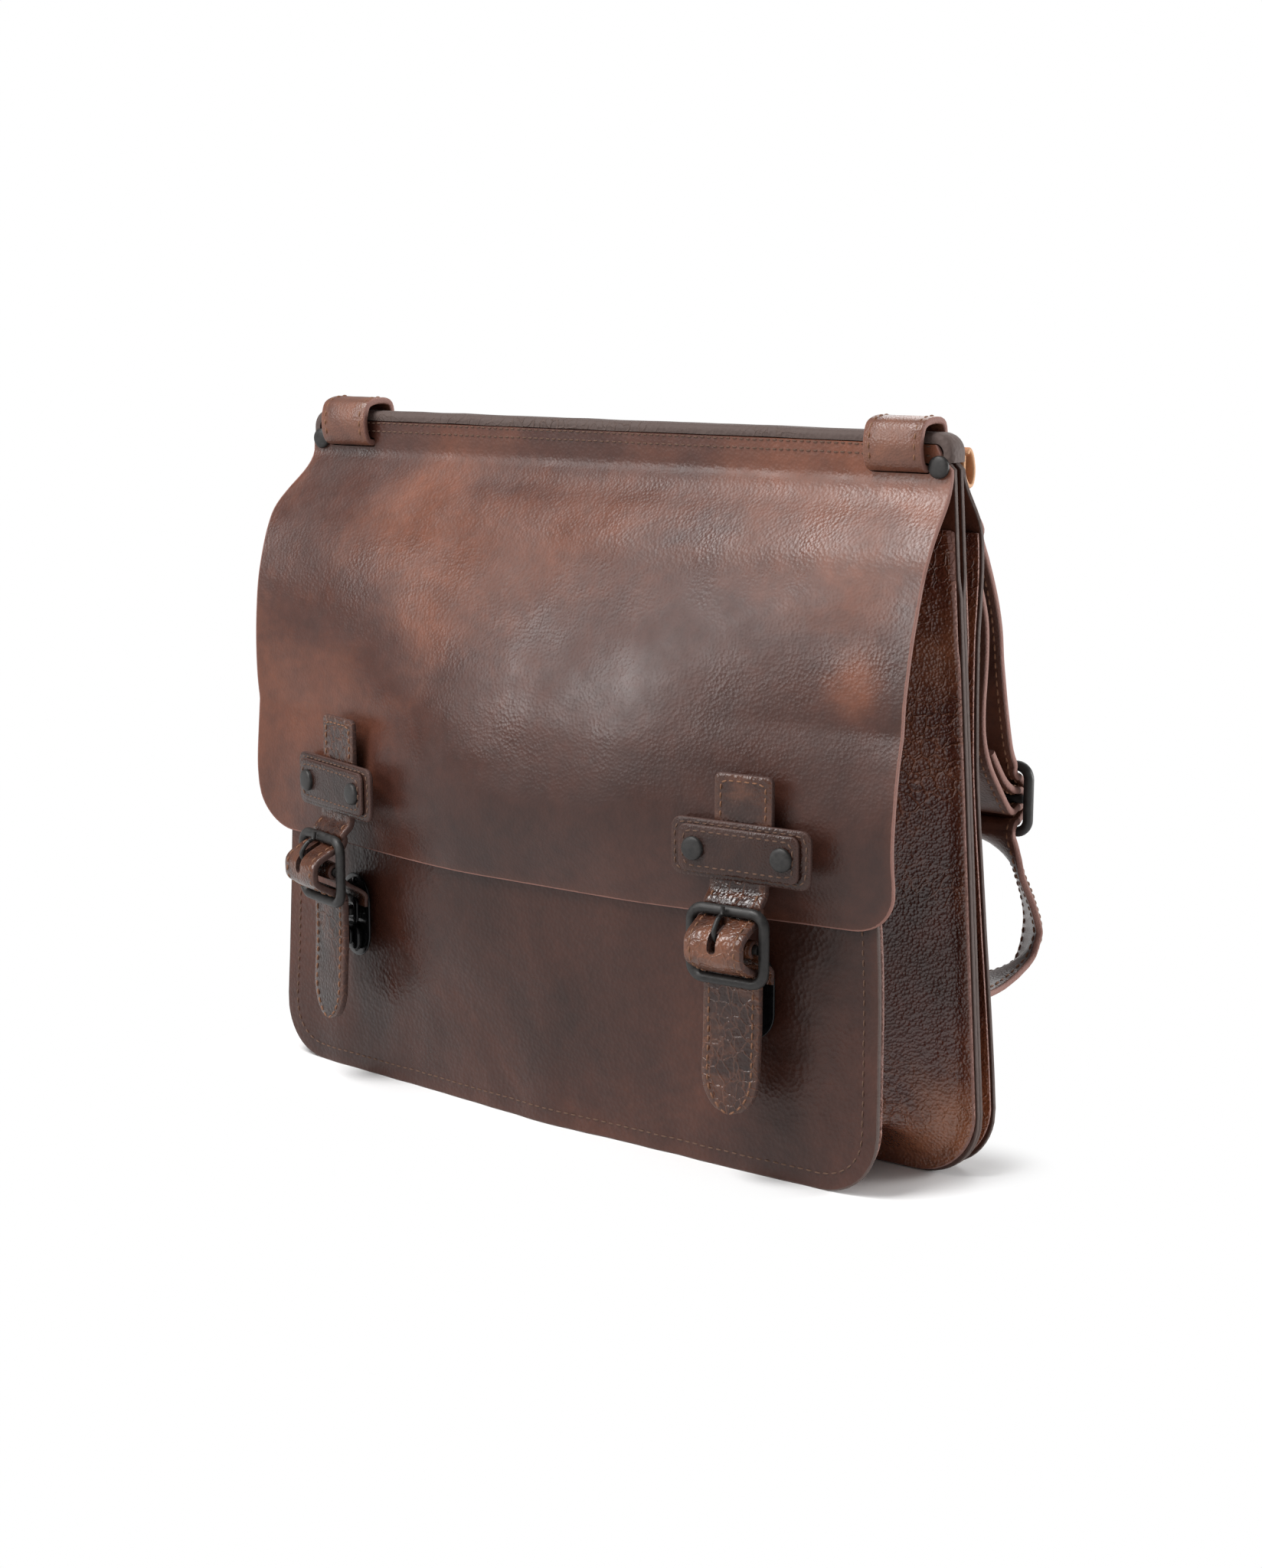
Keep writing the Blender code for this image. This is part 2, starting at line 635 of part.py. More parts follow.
def build_gusset(name, top, thickness, width, near_side, far_side, near_face, far_face, material):
    """Folded strip round three sides, sewn by a flange to the panel on each side of it.

    near_side and far_side give a panel's half width and its shift along X; near_face and
    far_face give the y of the panel's face that the flange lies against.
    """
    count = 9
    stations = [(z, None) for z in (lerp(top, CORNER_RADIUS, k / count) for k in range(count))]
    stations += [(None, a) for a in (0, 22.5, 45, 67.5, 90)]
    bottom_steps = 8

    def point(side, station, sign):
        half_at, shift = side
        z, angle = station
        radius = CORNER_RADIUS
        if angle is None:
            return Vector((shift + sign * half_at(z), 0, z)), Vector((-sign, 0, 0))
        turn = math.radians(angle)
        centre = Vector((shift + sign * (half_at(radius) - radius), 0, radius))
        out = Vector((sign * math.cos(turn), 0, -math.sin(turn)))
        return centre + out * radius, -out

    def bottom_point(side, share):
        half_at, shift = side
        reach = half_at(CORNER_RADIUS) - CORNER_RADIUS
        return Vector((shift + lerp(reach, -reach, share), 0, 0)), Vector((0, 0, 1))

    course = [(point(near_side, s, 1), point(far_side, s, 1)) for s in stations]
    course += [
        (bottom_point(near_side, k / bottom_steps), bottom_point(far_side, k / bottom_steps))
        for k in range(1, bottom_steps)
    ]
    course += [(point(near_side, s, -1), point(far_side, s, -1)) for s in reversed(stations)]

    outer_rows, inner_rows = [], []
    for (near, near_in), (far, far_in) in course:
        def at(inset, share, y_share):
            place = near.lerp(far, share) + near_in.lerp(far_in, share).normalized() * inset
            y_near = near_face(place.x, place.z)
            y_far = far_face(place.x, place.z)
            return place, lerp(y_near, y_far, y_share)
        _, y0 = at(FLANGE_WIDTH, 0.0, 0.0)
        _, y1 = at(FLANGE_WIDTH, 1.0, 1.0)
        depth = abs(y1 - y0) - thickness
        fold = math.sqrt(max((width / 2) ** 2 - (depth / 2) ** 2, 9.0))
        edge = 0.8
        profile = [(edge, 0.0), (FLANGE_WIDTH, 0.0)]
        profile += [(FLANGE_WIDTH + fold * math.sin(math.pi * t), depth * t)
                    for t in (0.17, 0.35, 0.5, 0.65, 0.83)]
        profile += [(FLANGE_WIDTH, depth), (edge, depth)]
        for rows, side in ((outer_rows, 0.5), (inner_rows, -0.5)):
            moved = offset_path(profile, side * thickness)
            row = []
            for inset, deep in moved:
                share = clamp((deep + thickness / 2) / (depth + thickness))
                place, _ = at(inset, share, share)
                y_near = near_face(place.x, place.z) + thickness / 2
                y_far = far_face(place.x, place.z) - thickness / 2
                y = lerp(y_near, y_far, deep / depth) if 0 < deep < depth else (
                    y_near + deep if deep <= 0 else y_far + deep - depth)
                row.append(Vector((place.x, y, place.z)))
            rows.append(row)
    bm = bmesh.new()
    skin(bm, outer_rows, inner_rows)
    new_object(name, bm, material)


def build_gussets():
    build_gusset(
        "front_gusset", FRONT_GUSSET_TOP, GUSSET_THICKNESS, GUSSET_WIDTH,
        (panel_half_width, PANEL_SHIFT), (half_width, 0.0),
        lambda x, z: panel_inner(x, z) + 2.5 * GAP,
        lambda x, z: -leaf_face(z + 36.0) - GAP, "gusset_leather",
    )
    build_gusset(
        "rear_gusset", REAR_GUSSET_TOP, REAR_GUSSET_THICKNESS, REAR_GUSSET_WIDTH,
        (half_width, 0.0), (half_width, 0.0),
        lambda x, z: leaf_face(z + 36.0) + GAP,
        lambda x, z: back_inner(x, z) - 5 * GAP, "gusset_leather",
    )


def build_flap(flap_pivot, bar_cut, closure_cutters):
    def edges(z):
        def one(left):
            return rounded_half(
                lambda h: flap_half(h + FLAP_BOTTOM, left), z - FLAP_BOTTOM, FLAP_CORNER_RADIUS)
        return -one(True), one(False)

    def face(x, z):
        return -flap_depth(flap_u(x, z), z)

    bm = bmesh.new()
    heights = corner_rows(FLAP_BOTTOM, HINGE_HEIGHT - GAP, FLAP_CORNER_RADIUS, 14.5)
    sheet(bm, heights, edges, face, slope_thickness(face, FLAP_THICKNESS), 14)
    new_object("flap", bm, "flap_leather", flap_pivot, closure_cutters)

    def strip_edges(z):
        left, right = inner_edges(z)
        full_left, full_right = edges(z)
        share = ease((z - 309.0) / 6.0)
        return lerp(full_left, left, share), lerp(full_right, right, share)

    bm = bmesh.new()
    heights = [HINGE_HEIGHT + GAP, 303.5, 307.0, 310.5] + bar_rows(HEIGHT - 18.0)
    sheet(bm, heights, strip_edges, face, slope_thickness(face, FLAP_THICKNESS), 8)
    new_object("flap_hinge_strip", bm, "flap_leather", cutters=[bar_cut])


# ---------------------------------------------------------------- corner fittings

def build_corner(side_name, side):
    depth = sandwich_face()
    z = HEIGHT - RIVET_DROP
    x = side * rivet_x()
    tab_thickness = 2.0
    inner = depth + GAP
    outer = inner + tab_thickness + GAP
    cap = 5.0
    bm = bmesh.new()
    place = Matrix.Translation((x, 0, z))
    turned(bm, [
        (0, -depth - GAP - 1.9), (cap * 0.6, -depth - GAP - 1.6), (cap, -depth - GAP - 0.7),
        (cap, -depth - GAP), (RIVET_SHAFT_RADIUS, -depth - GAP), (RIVET_SHAFT_RADIUS, outer),
        (cap * 0.8, outer), (cap * 0.8, outer + 0.8), (0, outer + 1.2),
    ], place, 16)
    new_object(f"corner_rivet_{side_name}", bm, "dark_metal")

    bm = bmesh.new()
    turned(bm, [(0, 0), (RIVET_SHAFT_RADIUS + GAP, 0), (RIVET_SHAFT_RADIUS + GAP, inner + 6.5),
                (0, inner + 6.5)], place, 12)
    turned(bm, [(0, outer - GAP), (cap * 0.8 + GAP, outer - GAP), (cap * 0.8 + GAP, inner + 30),
                (0, inner + 30)], place, 16)
    cutter = new_cutter(f"corner_tab_cutter_{side_name}", bm)

    bm = bmesh.new()
    mid = inner + tab_thickness / 2
    path = [(mid, z + 4.5), (mid, z - 2.0), (mid + 1.8, z - 5.0), (mid + 6.5, z - 8.5)]
    path += [(mid + 11.0, z - 6.0), (mid + 12.0, z - 1.0), (mid + 8.5, z + 4.5)]
    path += [(mid + 4.6, z + 7.2), (mid + 3.2, z + 5.2)]
    points = smooth_path(path, 2)
    place = Matrix.Translation((x, 0, 0))
    strip(bm, points, 9.4, tab_thickness, place)
    new_object(f"corner_tab_{side_name}", bm, "tan_leather", cutters=[cutter])


# ---------------------------------------------------------------- closures

def closure_frame(name):
    """Place of a closure: on the flap's outer face, its -Y pointing out of the flap."""
    x, yaw = CLOSURES[name]
    z = CLOSURE_HEIGHT
    turn = Matrix.Rotation(math.radians(yaw), 4, "Z")
    centre = Vector((x, -flap_depth(flap_u(x, z), z), z))
    frame = Matrix.Translation(centre) @ turn
    stand = 0.0
    for across in (-1.0, -0.5, 0.0, 0.5, 1.0):
        for up in (-1.0, -0.5, 0.0, 0.5, 1.0):
            local = Vector((across * CROSS_WIDTH / 2, 0, up * (CROSS_HEIGHT / 2 + TAB_RISE)))
            if abs(local.z) > CROSS_HEIGHT / 2 and abs(across) > 0.5:
                continue
            world = frame @ local
            surface = Vector((world.x, -flap_depth(flap_u(world.x, world.z), world.z), world.z))
            stand = max(stand, -(frame.inverted() @ surface).y)
    return frame @ Matrix.Translation((0, -stand - GAP, 0))


def lock_place(frame):
    """Place of a lock: flush on the front panel behind its closure."""
    place = frame @ Matrix.Translation((-4.0, 0, -LOCK_DROP))
    nearest = -1e9
    for across in (-1.0, -0.5, 0.0, 0.5, 1.0):
        for up in (-1.0, -0.5, 0.0, 0.5, 1.0):
            if abs(across) == 1.0 and abs(up) == 1.0:
                continue
            world = place @ Vector((across * LOCK_WIDTH / 2, 0, up * LOCK_HEIGHT / 2))
            surface = Vector((world.x, -panel_depth(world.x, world.z), world.z))
            nearest = max(nearest, -(place.inverted() @ surface).y)
    return place @ Matrix.Translation((0, -nearest - GAP, 0))


def cross_layers():
    """Inner and outer depth of the tab, base, bridge and rivet heads in front of the flap."""
    tab = (0.0, TAB_THICKNESS)
    base = (tab[1] + GAP, tab[1] + GAP + CROSS_THICKNESS)
    bridge = (base[1] + GAP, base[1] + GAP + BRIDGE_THICKNESS)
    head = (bridge[1] + GAP, bridge[1] + GAP + CROSS_RIVET_HEIGHT)
    return tab, base, bridge, head


def closure_cutter(name, frame):
    bm = bmesh.new()
    for side in (-1, 1):
        place = frame @ Matrix.Translation((side * CROSS_RIVET_SPACING / 2, 0, 0))
        radius = RIVET_SHAFT_RADIUS + GAP
        turned(bm, [(0, -20), (radius, -20), (radius, 20), (0, 20)], place, 12)
    return new_cutter(f"closure_cutter_{name}", bm)


def build_crosspiece(name, frame, pivot, cutter):
    tab, base, bridge, head = cross_layers()
    top = CROSS_HEIGHT / 2 + TAB_RISE
    low = -CROSS_HEIGHT / 2 + GAP
    bm = bmesh.new()
    outline = arc((STRAP_WIDTH / 2 - 3, top - 3), 3, 0, 90, 3)
    outline += arc((-STRAP_WIDTH / 2 + 3, top - 3), 3, 90, 180, 3)
    outline += [(-STRAP_WIDTH / 2, low), (STRAP_WIDTH / 2, low)]
    prism(bm, outline, -tab[1], -tab[0], frame)
    new_object(f"closure_tab_{name}", bm, "strap_leather", pivot)
    for piece, layer, width, height, radius in (
        ("crosspiece_base", base, CROSS_WIDTH, CROSS_HEIGHT, 5.0),
        ("crosspiece_bridge", bridge, BRIDGE_WIDTH, BRIDGE_HEIGHT, 4.0),
    ):
        bm = bmesh.new()
        prism(bm, rounded_rectangle(width, height, radius), -layer[1], -layer[0], frame)
        new_object(f"{piece}_{name}", bm, "strap_leather", pivot, [cutter])
    behind = flap_backing(frame)
    for number, side in ((1, -1), (2, 1)):
        bm = bmesh.new()
        place = frame @ Matrix.Translation((side * CROSS_RIVET_SPACING / 2, 0, 0))
        back = behind[side]
        turned(bm, [
            (0, -head[1]), (CROSS_RIVET_RADIUS - 0.4, -head[1]), (CROSS_RIVET_RADIUS, -head[1] + 0.4),
            (CROSS_RIVET_RADIUS, -head[0]), (RIVET_SHAFT_RADIUS, -head[0]),
            (RIVET_SHAFT_RADIUS, back), (0, back),
        ], place, 20)
        new_object(f"crosspiece_rivet_{name}_{number}", bm, "dark_metal", pivot)


def flap_backing(frame):
    """How far behind the closure's plane each rivet may reach: just short of the flap's back."""
    reach = {}
    for side in (-1, 1):
        world = frame @ Vector((side * CROSS_RIVET_SPACING / 2, 0, 0))
        surface = Vector((world.x, -flap_depth(flap_u(world.x, world.z), world.z), world.z))
        reach[side] = (frame.inverted() @ surface).y + FLAP_THICKNESS * 0.8
    return reach


def closure_path():
    """Centre line of the buckled strap, as (y, z) from the crosspiece's centre."""
    bar_z = -BUCKLE_DROP
    plane = -BUCKLE_STAND
    wire = BUCKLE_WIRE / 2
    half = STRAP_THICKNESS / 2
    top_bar = bar_z + BUCKLE_HEIGHT / 2 - wire
    low_bar = bar_z - BUCKLE_HEIGHT / 2 + wire
    round_bar = wire + GAP + half + 0.8
    behind = plane + round_bar
    bulge = plane - 11.5
    points = [(-half, -CROSS_HEIGHT / 2), (-half - 0.9, -CROSS_HEIGHT / 2 - 5.0)]
    points += arc((plane, top_bar), round_bar, 25, -100, 5)
    points += [(bulge + 1.6, bar_z + 5.5), (bulge, bar_z), (bulge + 1.6, bar_z - 5.5)]
    points += arc((plane, low_bar), round_bar, 100, -15, 5)
    points += [(behind - 0.6, -80.0), (behind - 1.6, -100.0)]
    return points + [(behind - 2.2, -TAIL_TIP_DROP)]


def build_closure_strap(name, frame, pivot):
    """Strap that hangs from the crosspiece, over the buckle's bar and down to a round tip."""
    points = smooth_path(closure_path(), 2)
    halves = []
    for y, z in points:
        from_tip = z + TAIL_TIP_DROP
        half = STRAP_WIDTH / 2
        if from_tip < 18.0:
            half *= 0.14 + 0.86 * math.sqrt(1.0 - (1.0 - from_tip / 18.0) ** 2)
        halves.append(half)
    bm = bmesh.new()
    place = frame @ Matrix.Translation((-2.0, 0, -GAP))
    strip(bm, points, STRAP_WIDTH, STRAP_THICKNESS, place, halves)
    cutter_bm = bmesh.new()
    low, high = prong_window()
    outline = [(PRONG_RADIUS + PRONG_PLAY, low), (PRONG_RADIUS + PRONG_PLAY, high),
               (-PRONG_RADIUS - PRONG_PLAY, high), (-PRONG_RADIUS - PRONG_PLAY, low)]
    prism(cutter_bm, outline, -BUCKLE_STAND - 30.0, -BUCKLE_STAND, place)
    cutter = new_cutter(f"prong_hole_cutter_{name}", cutter_bm, pivot)
    new_object(f"closure_strap_{name}", bm, "strap_leather", pivot, [cutter])


def prong_path():
    """Centre line of the prong, as (y, z) from the bar's axis."""
    top_bar = BUCKLE_HEIGHT / 2 - BUCKLE_WIRE / 2
    front = -BUCKLE_WIRE / 2 - GAP - PRONG_RADIUS
    hub = BAR_RADIUS + GAP + PRONG_RADIUS
    return [(-hub, 0.5), (-6.5, 2.6), (-10.2, 5.6), (-11.0, 9.0), (-8.0, 13.2),
            (front - 0.6, top_bar - 0.5), (front + 0.2, top_bar + 2.6)]


def prong_window():
    """Lower and upper edge of the strap's hole, which lets the prong turn."""
    crossing = [(y, z) for y, z in smooth_path(prong_path(), 6) if y < -BAR_RADIUS - 5.0]
    low, high = 1e9, -1e9
    for degrees in (0.0, PRONG_SWING / 2, PRONG_SWING):
        turn = math.radians(degrees)
        for y, z in crossing:
            if math.hypot(y, z) > 14.6:
                continue
            turned_z = z * math.cos(turn) + y * math.sin(turn)
            low, high = min(low, turned_z), max(high, turned_z)
    margin = PRONG_RADIUS + PRONG_PLAY
    return -BUCKLE_DROP - GAP + low - margin, -BUCKLE_DROP - GAP + high + margin


def bar_axis(frame):
    return frame @ Matrix.Translation((-2.0, -BUCKLE_STAND, -BUCKLE_DROP - GAP))


def build_buckle(frame_name, bar_name, place, pivot):
    """Wire frame with round corners, and the bar across its middle."""
    wire = BUCKLE_WIRE / 2
    bm = bmesh.new()
    outline = rounded_rectangle(
        BUCKLE_WIDTH - BUCKLE_WIRE, BUCKLE_HEIGHT - BUCKLE_WIRE, BUCKLE_CORNER - wire, steps=3)
    tube(bm, [(x, 0, z) for x, z in outline], wire, 8, True, place)
    new_object(frame_name, bm, "dark_metal", pivot)
    bm = bmesh.new()
    reach = BUCKLE_WIDTH / 2 - BUCKLE_WIRE - GAP
    tube(bm, [(-reach, 0, 0), (-reach / 3, 0, 0), (reach / 3, 0, 0), (reach, 0, 0)],
         BAR_RADIUS, 12, False, place)
    new_object(bar_name, bm, "dark_metal", pivot)


def build_prong(name, place, pivot):
    bm = bmesh.new()
    points = [(0.0, y, z) for y, z in smooth_path(prong_path(), 3)]
    tube(bm, points, PRONG_RADIUS, 8, False, place, 0.7)
    new_object(f"buckle_prong_{name}", bm, "dark_metal", pivot)


def build_lock_tab(name, frame, lock, pivot):
    """Leather tab hooked round the buckle's bar that carries the lock's tongue."""
    axis = bar_axis(frame)
    half = LOCK_TAB_THICKNESS / 2
    radius = BAR_RADIUS + GAP + half
    foot = axis.inverted() @ (lock @ Vector((0, 0, 0)))
    rear = foot.y - FLANGE_THICKNESS - GAP - half
    tongue_top = foot.z + tongue_span()[1]
    clear = -BUCKLE_WIRE / 2 - GAP - STRAP_THICKNESS - GAP
    turn_in = -clear + half
    path = arc((0.0, 0.0), radius, 250, 10, 9)
    path = [(y, z) for y, z in path]
    path += [(radius + 1.2, -4.5), (turn_in + 1.8, -8.5), (lerp(turn_in, rear, 0.7), -11.6)]
    path += [(rear, tongue_top + 2.0), (rear, tongue_top - 1.0), (rear, tongue_top - 3.6)]
    points = smooth_path(path, 2)
    halves = [LOCK_TAB_WIDTH / 2] * len(points)
    for k in range(3):
        halves[-1 - k] = LOCK_TAB_WIDTH / 2 - (3 - k) ** 2 * 0.35
    cutter_bm = bmesh.new()
    outline = [(PRONG_RADIUS + PRONG_PLAY, -3.0), (PRONG_RADIUS + PRONG_PLAY, 6.5),
               (-PRONG_RADIUS - PRONG_PLAY, 6.5), (-PRONG_RADIUS - PRONG_PLAY, -3.0)]
    prism(cutter_bm, outline, -9.0, -BAR_RADIUS * 0.4, axis)
    cutter = new_cutter(f"tab_slot_cutter_{name}", cutter_bm, pivot)
    bm = bmesh.new()
    shift = [lerp(0.0, foot.x, ease((-z - 4.0) / 12.0)) for y, z in points]
    strip(bm, points, LOCK_TAB_WIDTH, LOCK_TAB_THICKNESS, axis, halves, shift)
    new_object(f"lock_tab_{name}", bm, "strap_leather", pivot, [cutter])


def tongue_span():
    """Lower and upper edge of the tongue from the lock's centre."""
    return -2.8, TONGUE_HEIGHT - 2.8


def catch_centre():
    return tongue_span()[0] + 3.2 + CATCH_HEIGHT / 2


def tongue_depth():
    """Inner face of the tongue, in front of the lock's back."""
    return FLANGE_THICKNESS + GAP + LOCK_TAB_THICKNESS + GAP


def build_tongue(name, lock, pivot):
    """Metal plate with a window for the catch and a round boss above it."""
    low, high = tongue_span()
    depth = tongue_depth()
    bm = bmesh.new()
    window = rounded_rectangle(
        CATCH_WIDTH + 2 * TONGUE_SIDE_PLAY, CATCH_HEIGHT + 2 * TONGUE_PLAY, 0.8,
        (0, catch_centre()), 2)
    prism(bm, window, -30.0, 30.0, lock)
    cutter = new_cutter(f"tongue_window_cutter_{name}", bm, pivot)
    bm = bmesh.new()
    outline = rounded_rectangle(TONGUE_WIDTH, high - low, 3.0, (0, (low + high) / 2), 3)
    prism(bm, outline, -depth - TONGUE_THICKNESS, -depth, lock)
    new_object(f"lock_tongue_{name}", bm, "lock_metal", pivot, [cutter])


def build_lock(name, lock, pivot):
    bm = bmesh.new()
    prism(bm, rounded_rectangle(LOCK_WIDTH, LOCK_HEIGHT, LOCK_WIDTH / 2 - 0.2, steps=6),
          -FLANGE_THICKNESS, 0.0, lock)
    plate = new_object(f"lock_plate_{name}", bm, "lock_metal")
    housing_low = -LOCK_HEIGHT / 2 + 3.5
    housing_mid = housing_low + HOUSING_HEIGHT / 2
    front = FLANGE_THICKNESS + HOUSING_THICKNESS
    catch_front = tongue_depth() + TONGUE_THICKNESS + 1.2
    for part, width, height, centre, depth, radius in (
        ("housing", HOUSING_WIDTH, HOUSING_HEIGHT, housing_mid, front, 5.0),
        ("catch", CATCH_WIDTH, CATCH_HEIGHT, catch_centre(), catch_front, 1.0),
    ):
        bm = bmesh.new()
        prism(bm, rounded_rectangle(width, height, radius, (0, centre), 3),
              -depth, -FLANGE_THICKNESS * 0.5, lock)
        piece = new_cutter(f"lock_{part}_{name}", bm)
        join = plate.modifiers.new(f"join_{part}", "BOOLEAN")
        join.operation = "UNION"
        join.solver = "EXACT"
        join.object = piece
    bm = bmesh.new()
    slider_top = housing_low + HOUSING_HEIGHT - 1.0
    slider_mid = slider_top - SLIDER_HEIGHT / 2
    outline = rounded_rectangle(SLIDER_WIDTH, SLIDER_HEIGHT, 3.0, (0, slider_mid), 3)
    prism(bm, outline, -front - GAP - SLIDER_THICKNESS * 0.6, -front - GAP, lock)
    rim = [f for f in bm.faces if len(f.verts) > 4]
    outer = min(rim, key=lambda f: (lock.inverted() @ f.calc_center_median()).y)
    bmesh.ops.inset_region(bm, faces=[outer], thickness=1.4)
    out = lock.to_3x3() @ Vector((0, -SLIDER_THICKNESS * 0.4, 0))
    bmesh.ops.translate(bm, vec=out, verts=list(outer.verts))
    new_object(f"lock_slider_{name}", bm, "lock_metal", pivot)


def build_closure(name, flap_pivot, frame, cutter):
    lock = lock_place(frame)
    swing = frame @ Matrix.Translation((-2.0, -STRAP_THICKNESS - GAP, -CROSS_HEIGHT / 2 - GAP))
    strap_pivot = new_pivot(f"closure_swing_{name}_pivot", swing)
    axis = bar_axis(frame)
    prong_pivot = new_pivot(f"prong_{name}_pivot", axis)
    slider_pivot = new_pivot(f"slider_{name}_pivot", lock)
    build_crosspiece(name, frame, flap_pivot, cutter)
    build_closure_strap(name, frame, strap_pivot)
    build_buckle(f"buckle_frame_{name}", f"buckle_bar_{name}", axis, strap_pivot)
    build_prong(name, axis, prong_pivot)
    build_lock_tab(name, frame, lock, strap_pivot)
    build_tongue(name, lock, strap_pivot)
    build_lock(name, lock, slider_pivot)


# ---------------------------------------------------------------- shoulder straps

def loop_path():
    """Centre line of the loop round the bar: down behind it, through the slot and up again."""
    half = STRAP_THICKNESS / 2
    side = sandwich_face() + GAP + half + 0.8
    slot = HEIGHT - SLOT_DROP - 2 * GAP - half
    crown = HEIGHT + 5.0
    return side, slot, crown


def outer_run():
    """Centre line of the outer run from the bar, through the buckle, down to the anchor."""
    y, z = SHOULDER_BUCKLE_Y, SHOULDER_BUCKLE_Z
    wire = BUCKLE_WIRE / 2
    half = STRAP_THICKNESS / 2
    top_bar = z + BUCKLE_HEIGHT / 2 - wire
    low_bar = z - BUCKLE_HEIGHT / 2 + wire
    round_bar = wire + GAP + half + 0.8
    bulge = y + fold_radius() + STRAP_THICKNESS / 2 + GAP + half + 0.6
    path = [(42.0, SPLIT_HEIGHT), (42.5, SPLIT_HEIGHT - 6.0), (49.0, 264.0), (54.5, 240.0)]
    path += [(58.5, 217.0), (y - round_bar - 5.0, top_bar + 12.0)]
    path += arc((y, top_bar), round_bar, 165, 270, 4)
    path += [(bulge - 1.6, z + 5.0), (bulge, z), (bulge - 1.6, z - 5.0)]
    path += arc((y, low_bar), round_bar, 90, 200, 4)
    path += [(y + 2.0, low_bar - 11.0), (SHOULDER_BOW_Y - 9.0, 112.0)]
    path += [(SHOULDER_BOW_Y, SHOULDER_BOW_Z), (SHOULDER_BOW_Y - 8.0, 77.0)]
    path += [(SHOULDER_BOW_Y - 27.0, 71.0), (ANCHOR_Y + 12.0, ANCHOR_Z + 3.6)]
    return path + [(ANCHOR_Y - 8.0, ANCHOR_Z + 3.4)]


def fold_radius():
    """Centre-line radius of the inner run's fold round the buckle's bar."""
    return BAR_RADIUS + GAP + STRAP_THICKNESS / 2


def inner_run():
    """Centre line of the inner run from the bar to the fold round the buckle's bar."""
    y, z = SHOULDER_BUCKLE_Y, SHOULDER_BUCKLE_Z
    radius = fold_radius()
    path = [(32.5, SPLIT_HEIGHT), (33.0, SPLIT_HEIGHT - 6.0), (37.0, 266.0), (42.0, 245.0), (42.5, 225.0), (41.0, 207.0),
            (42.0, 192.0), (48.0, 178.0), (60.0, 163.0), (y - 7.5, z - 4.6)]
    path += arc((y, z), radius, 250, 460, 7)
    path += [(y - 6.8, z + 5.6), (y - 16.0, z + 12.0), (y - 27.0, z + 25.5)]
    return path


def strap_shift(points):
    """The runs spread a little outwards below the bar."""
    return [4.0 * ease((SPLIT_HEIGHT - z) / 50.0) for _, z in points]


def build_shoulder_strap(name, side):
    x = side * SLOT_SPACING / 2
    place = Matrix.Translation((x, 0, 0))
    side_y, slot, crown = loop_path()

    bm = bmesh.new()
    ring = [(side_y, HEIGHT - 6.0), (side_y - 1.5, crown - 1.8), (0.0, crown), (1.5 - side_y, crown - 1.8),
            (-side_y, HEIGHT - 6.0), (-side_y, slot + 3.0), (2.0 - side_y, slot), (0.0, slot),
            (side_y - 2.0, slot), (side_y, slot + 3.0)]
    points = smooth_path(ring + [ring[0]], 2)[:-1]
    outer = offset_path(points, STRAP_THICKNESS / 2, True)
    inner = offset_path(points, -STRAP_THICKNESS / 2, True)

    def grid(path):
        return [[place @ Vector((w, y, z)) for w in (-STRAP_WIDTH / 2, STRAP_WIDTH / 2)]
                for y, z in path]

    skin(bm, grid(outer), grid(inner), wrap=True)
    loop = new_object(f"strap_loop_{name}", bm, "strap_leather")
    for part, path in (
        ("outer", [(side_y, HEIGHT - 9.0), (side_y + 3.5, HEIGHT - 15.0), (27.0, 301.0),
                   (41.7, SPLIT_HEIGHT + 5.0), (42.0, SPLIT_HEIGHT + 1.2)]),
        ("inner", [(side_y, slot + 1.0), (side_y + 2.5, slot - 3.0), (24.0, 303.0),
                   (32.2, SPLIT_HEIGHT + 5.0), (32.5, SPLIT_HEIGHT + 1.2)]),
    ):
        bm = bmesh.new()
        strip(bm, smooth_path(path, 3), STRAP_WIDTH, STRAP_THICKNESS, place)
        piece = new_cutter(f"loop_{part}_{name}", bm)
        join = loop.modifiers.new(f"join_{part}", "BOOLEAN")
        join.operation = "UNION"
        join.solver = "EXACT"
        join.object = piece

    swing = Matrix.Translation((x + side * 4.0, ANCHOR_Y, 0))
    pivot = new_pivot(f"shoulder_swing_{name}_pivot", swing)
    for piece, path in ((f"shoulder_strap_{name}", outer_run()), (f"strap_fold_{name}", inner_run())):
        points = smooth_path(path, 2)
        shift = [side * s for s in strap_shift(points)]
        bm = bmesh.new()
        strip(bm, points, STRAP_WIDTH, STRAP_THICKNESS, place, None, shift)
        new_object(piece, bm, "strap_leather", pivot)
    buckle = Matrix.Translation((x + side * 4.0, SHOULDER_BUCKLE_Y, SHOULDER_BUCKLE_Z))
    build_buckle(f"shoulder_buckle_{name}", f"shoulder_buckle_bar_{name}", buckle, pivot)
    build_anchor(name, x + side * 4.0)


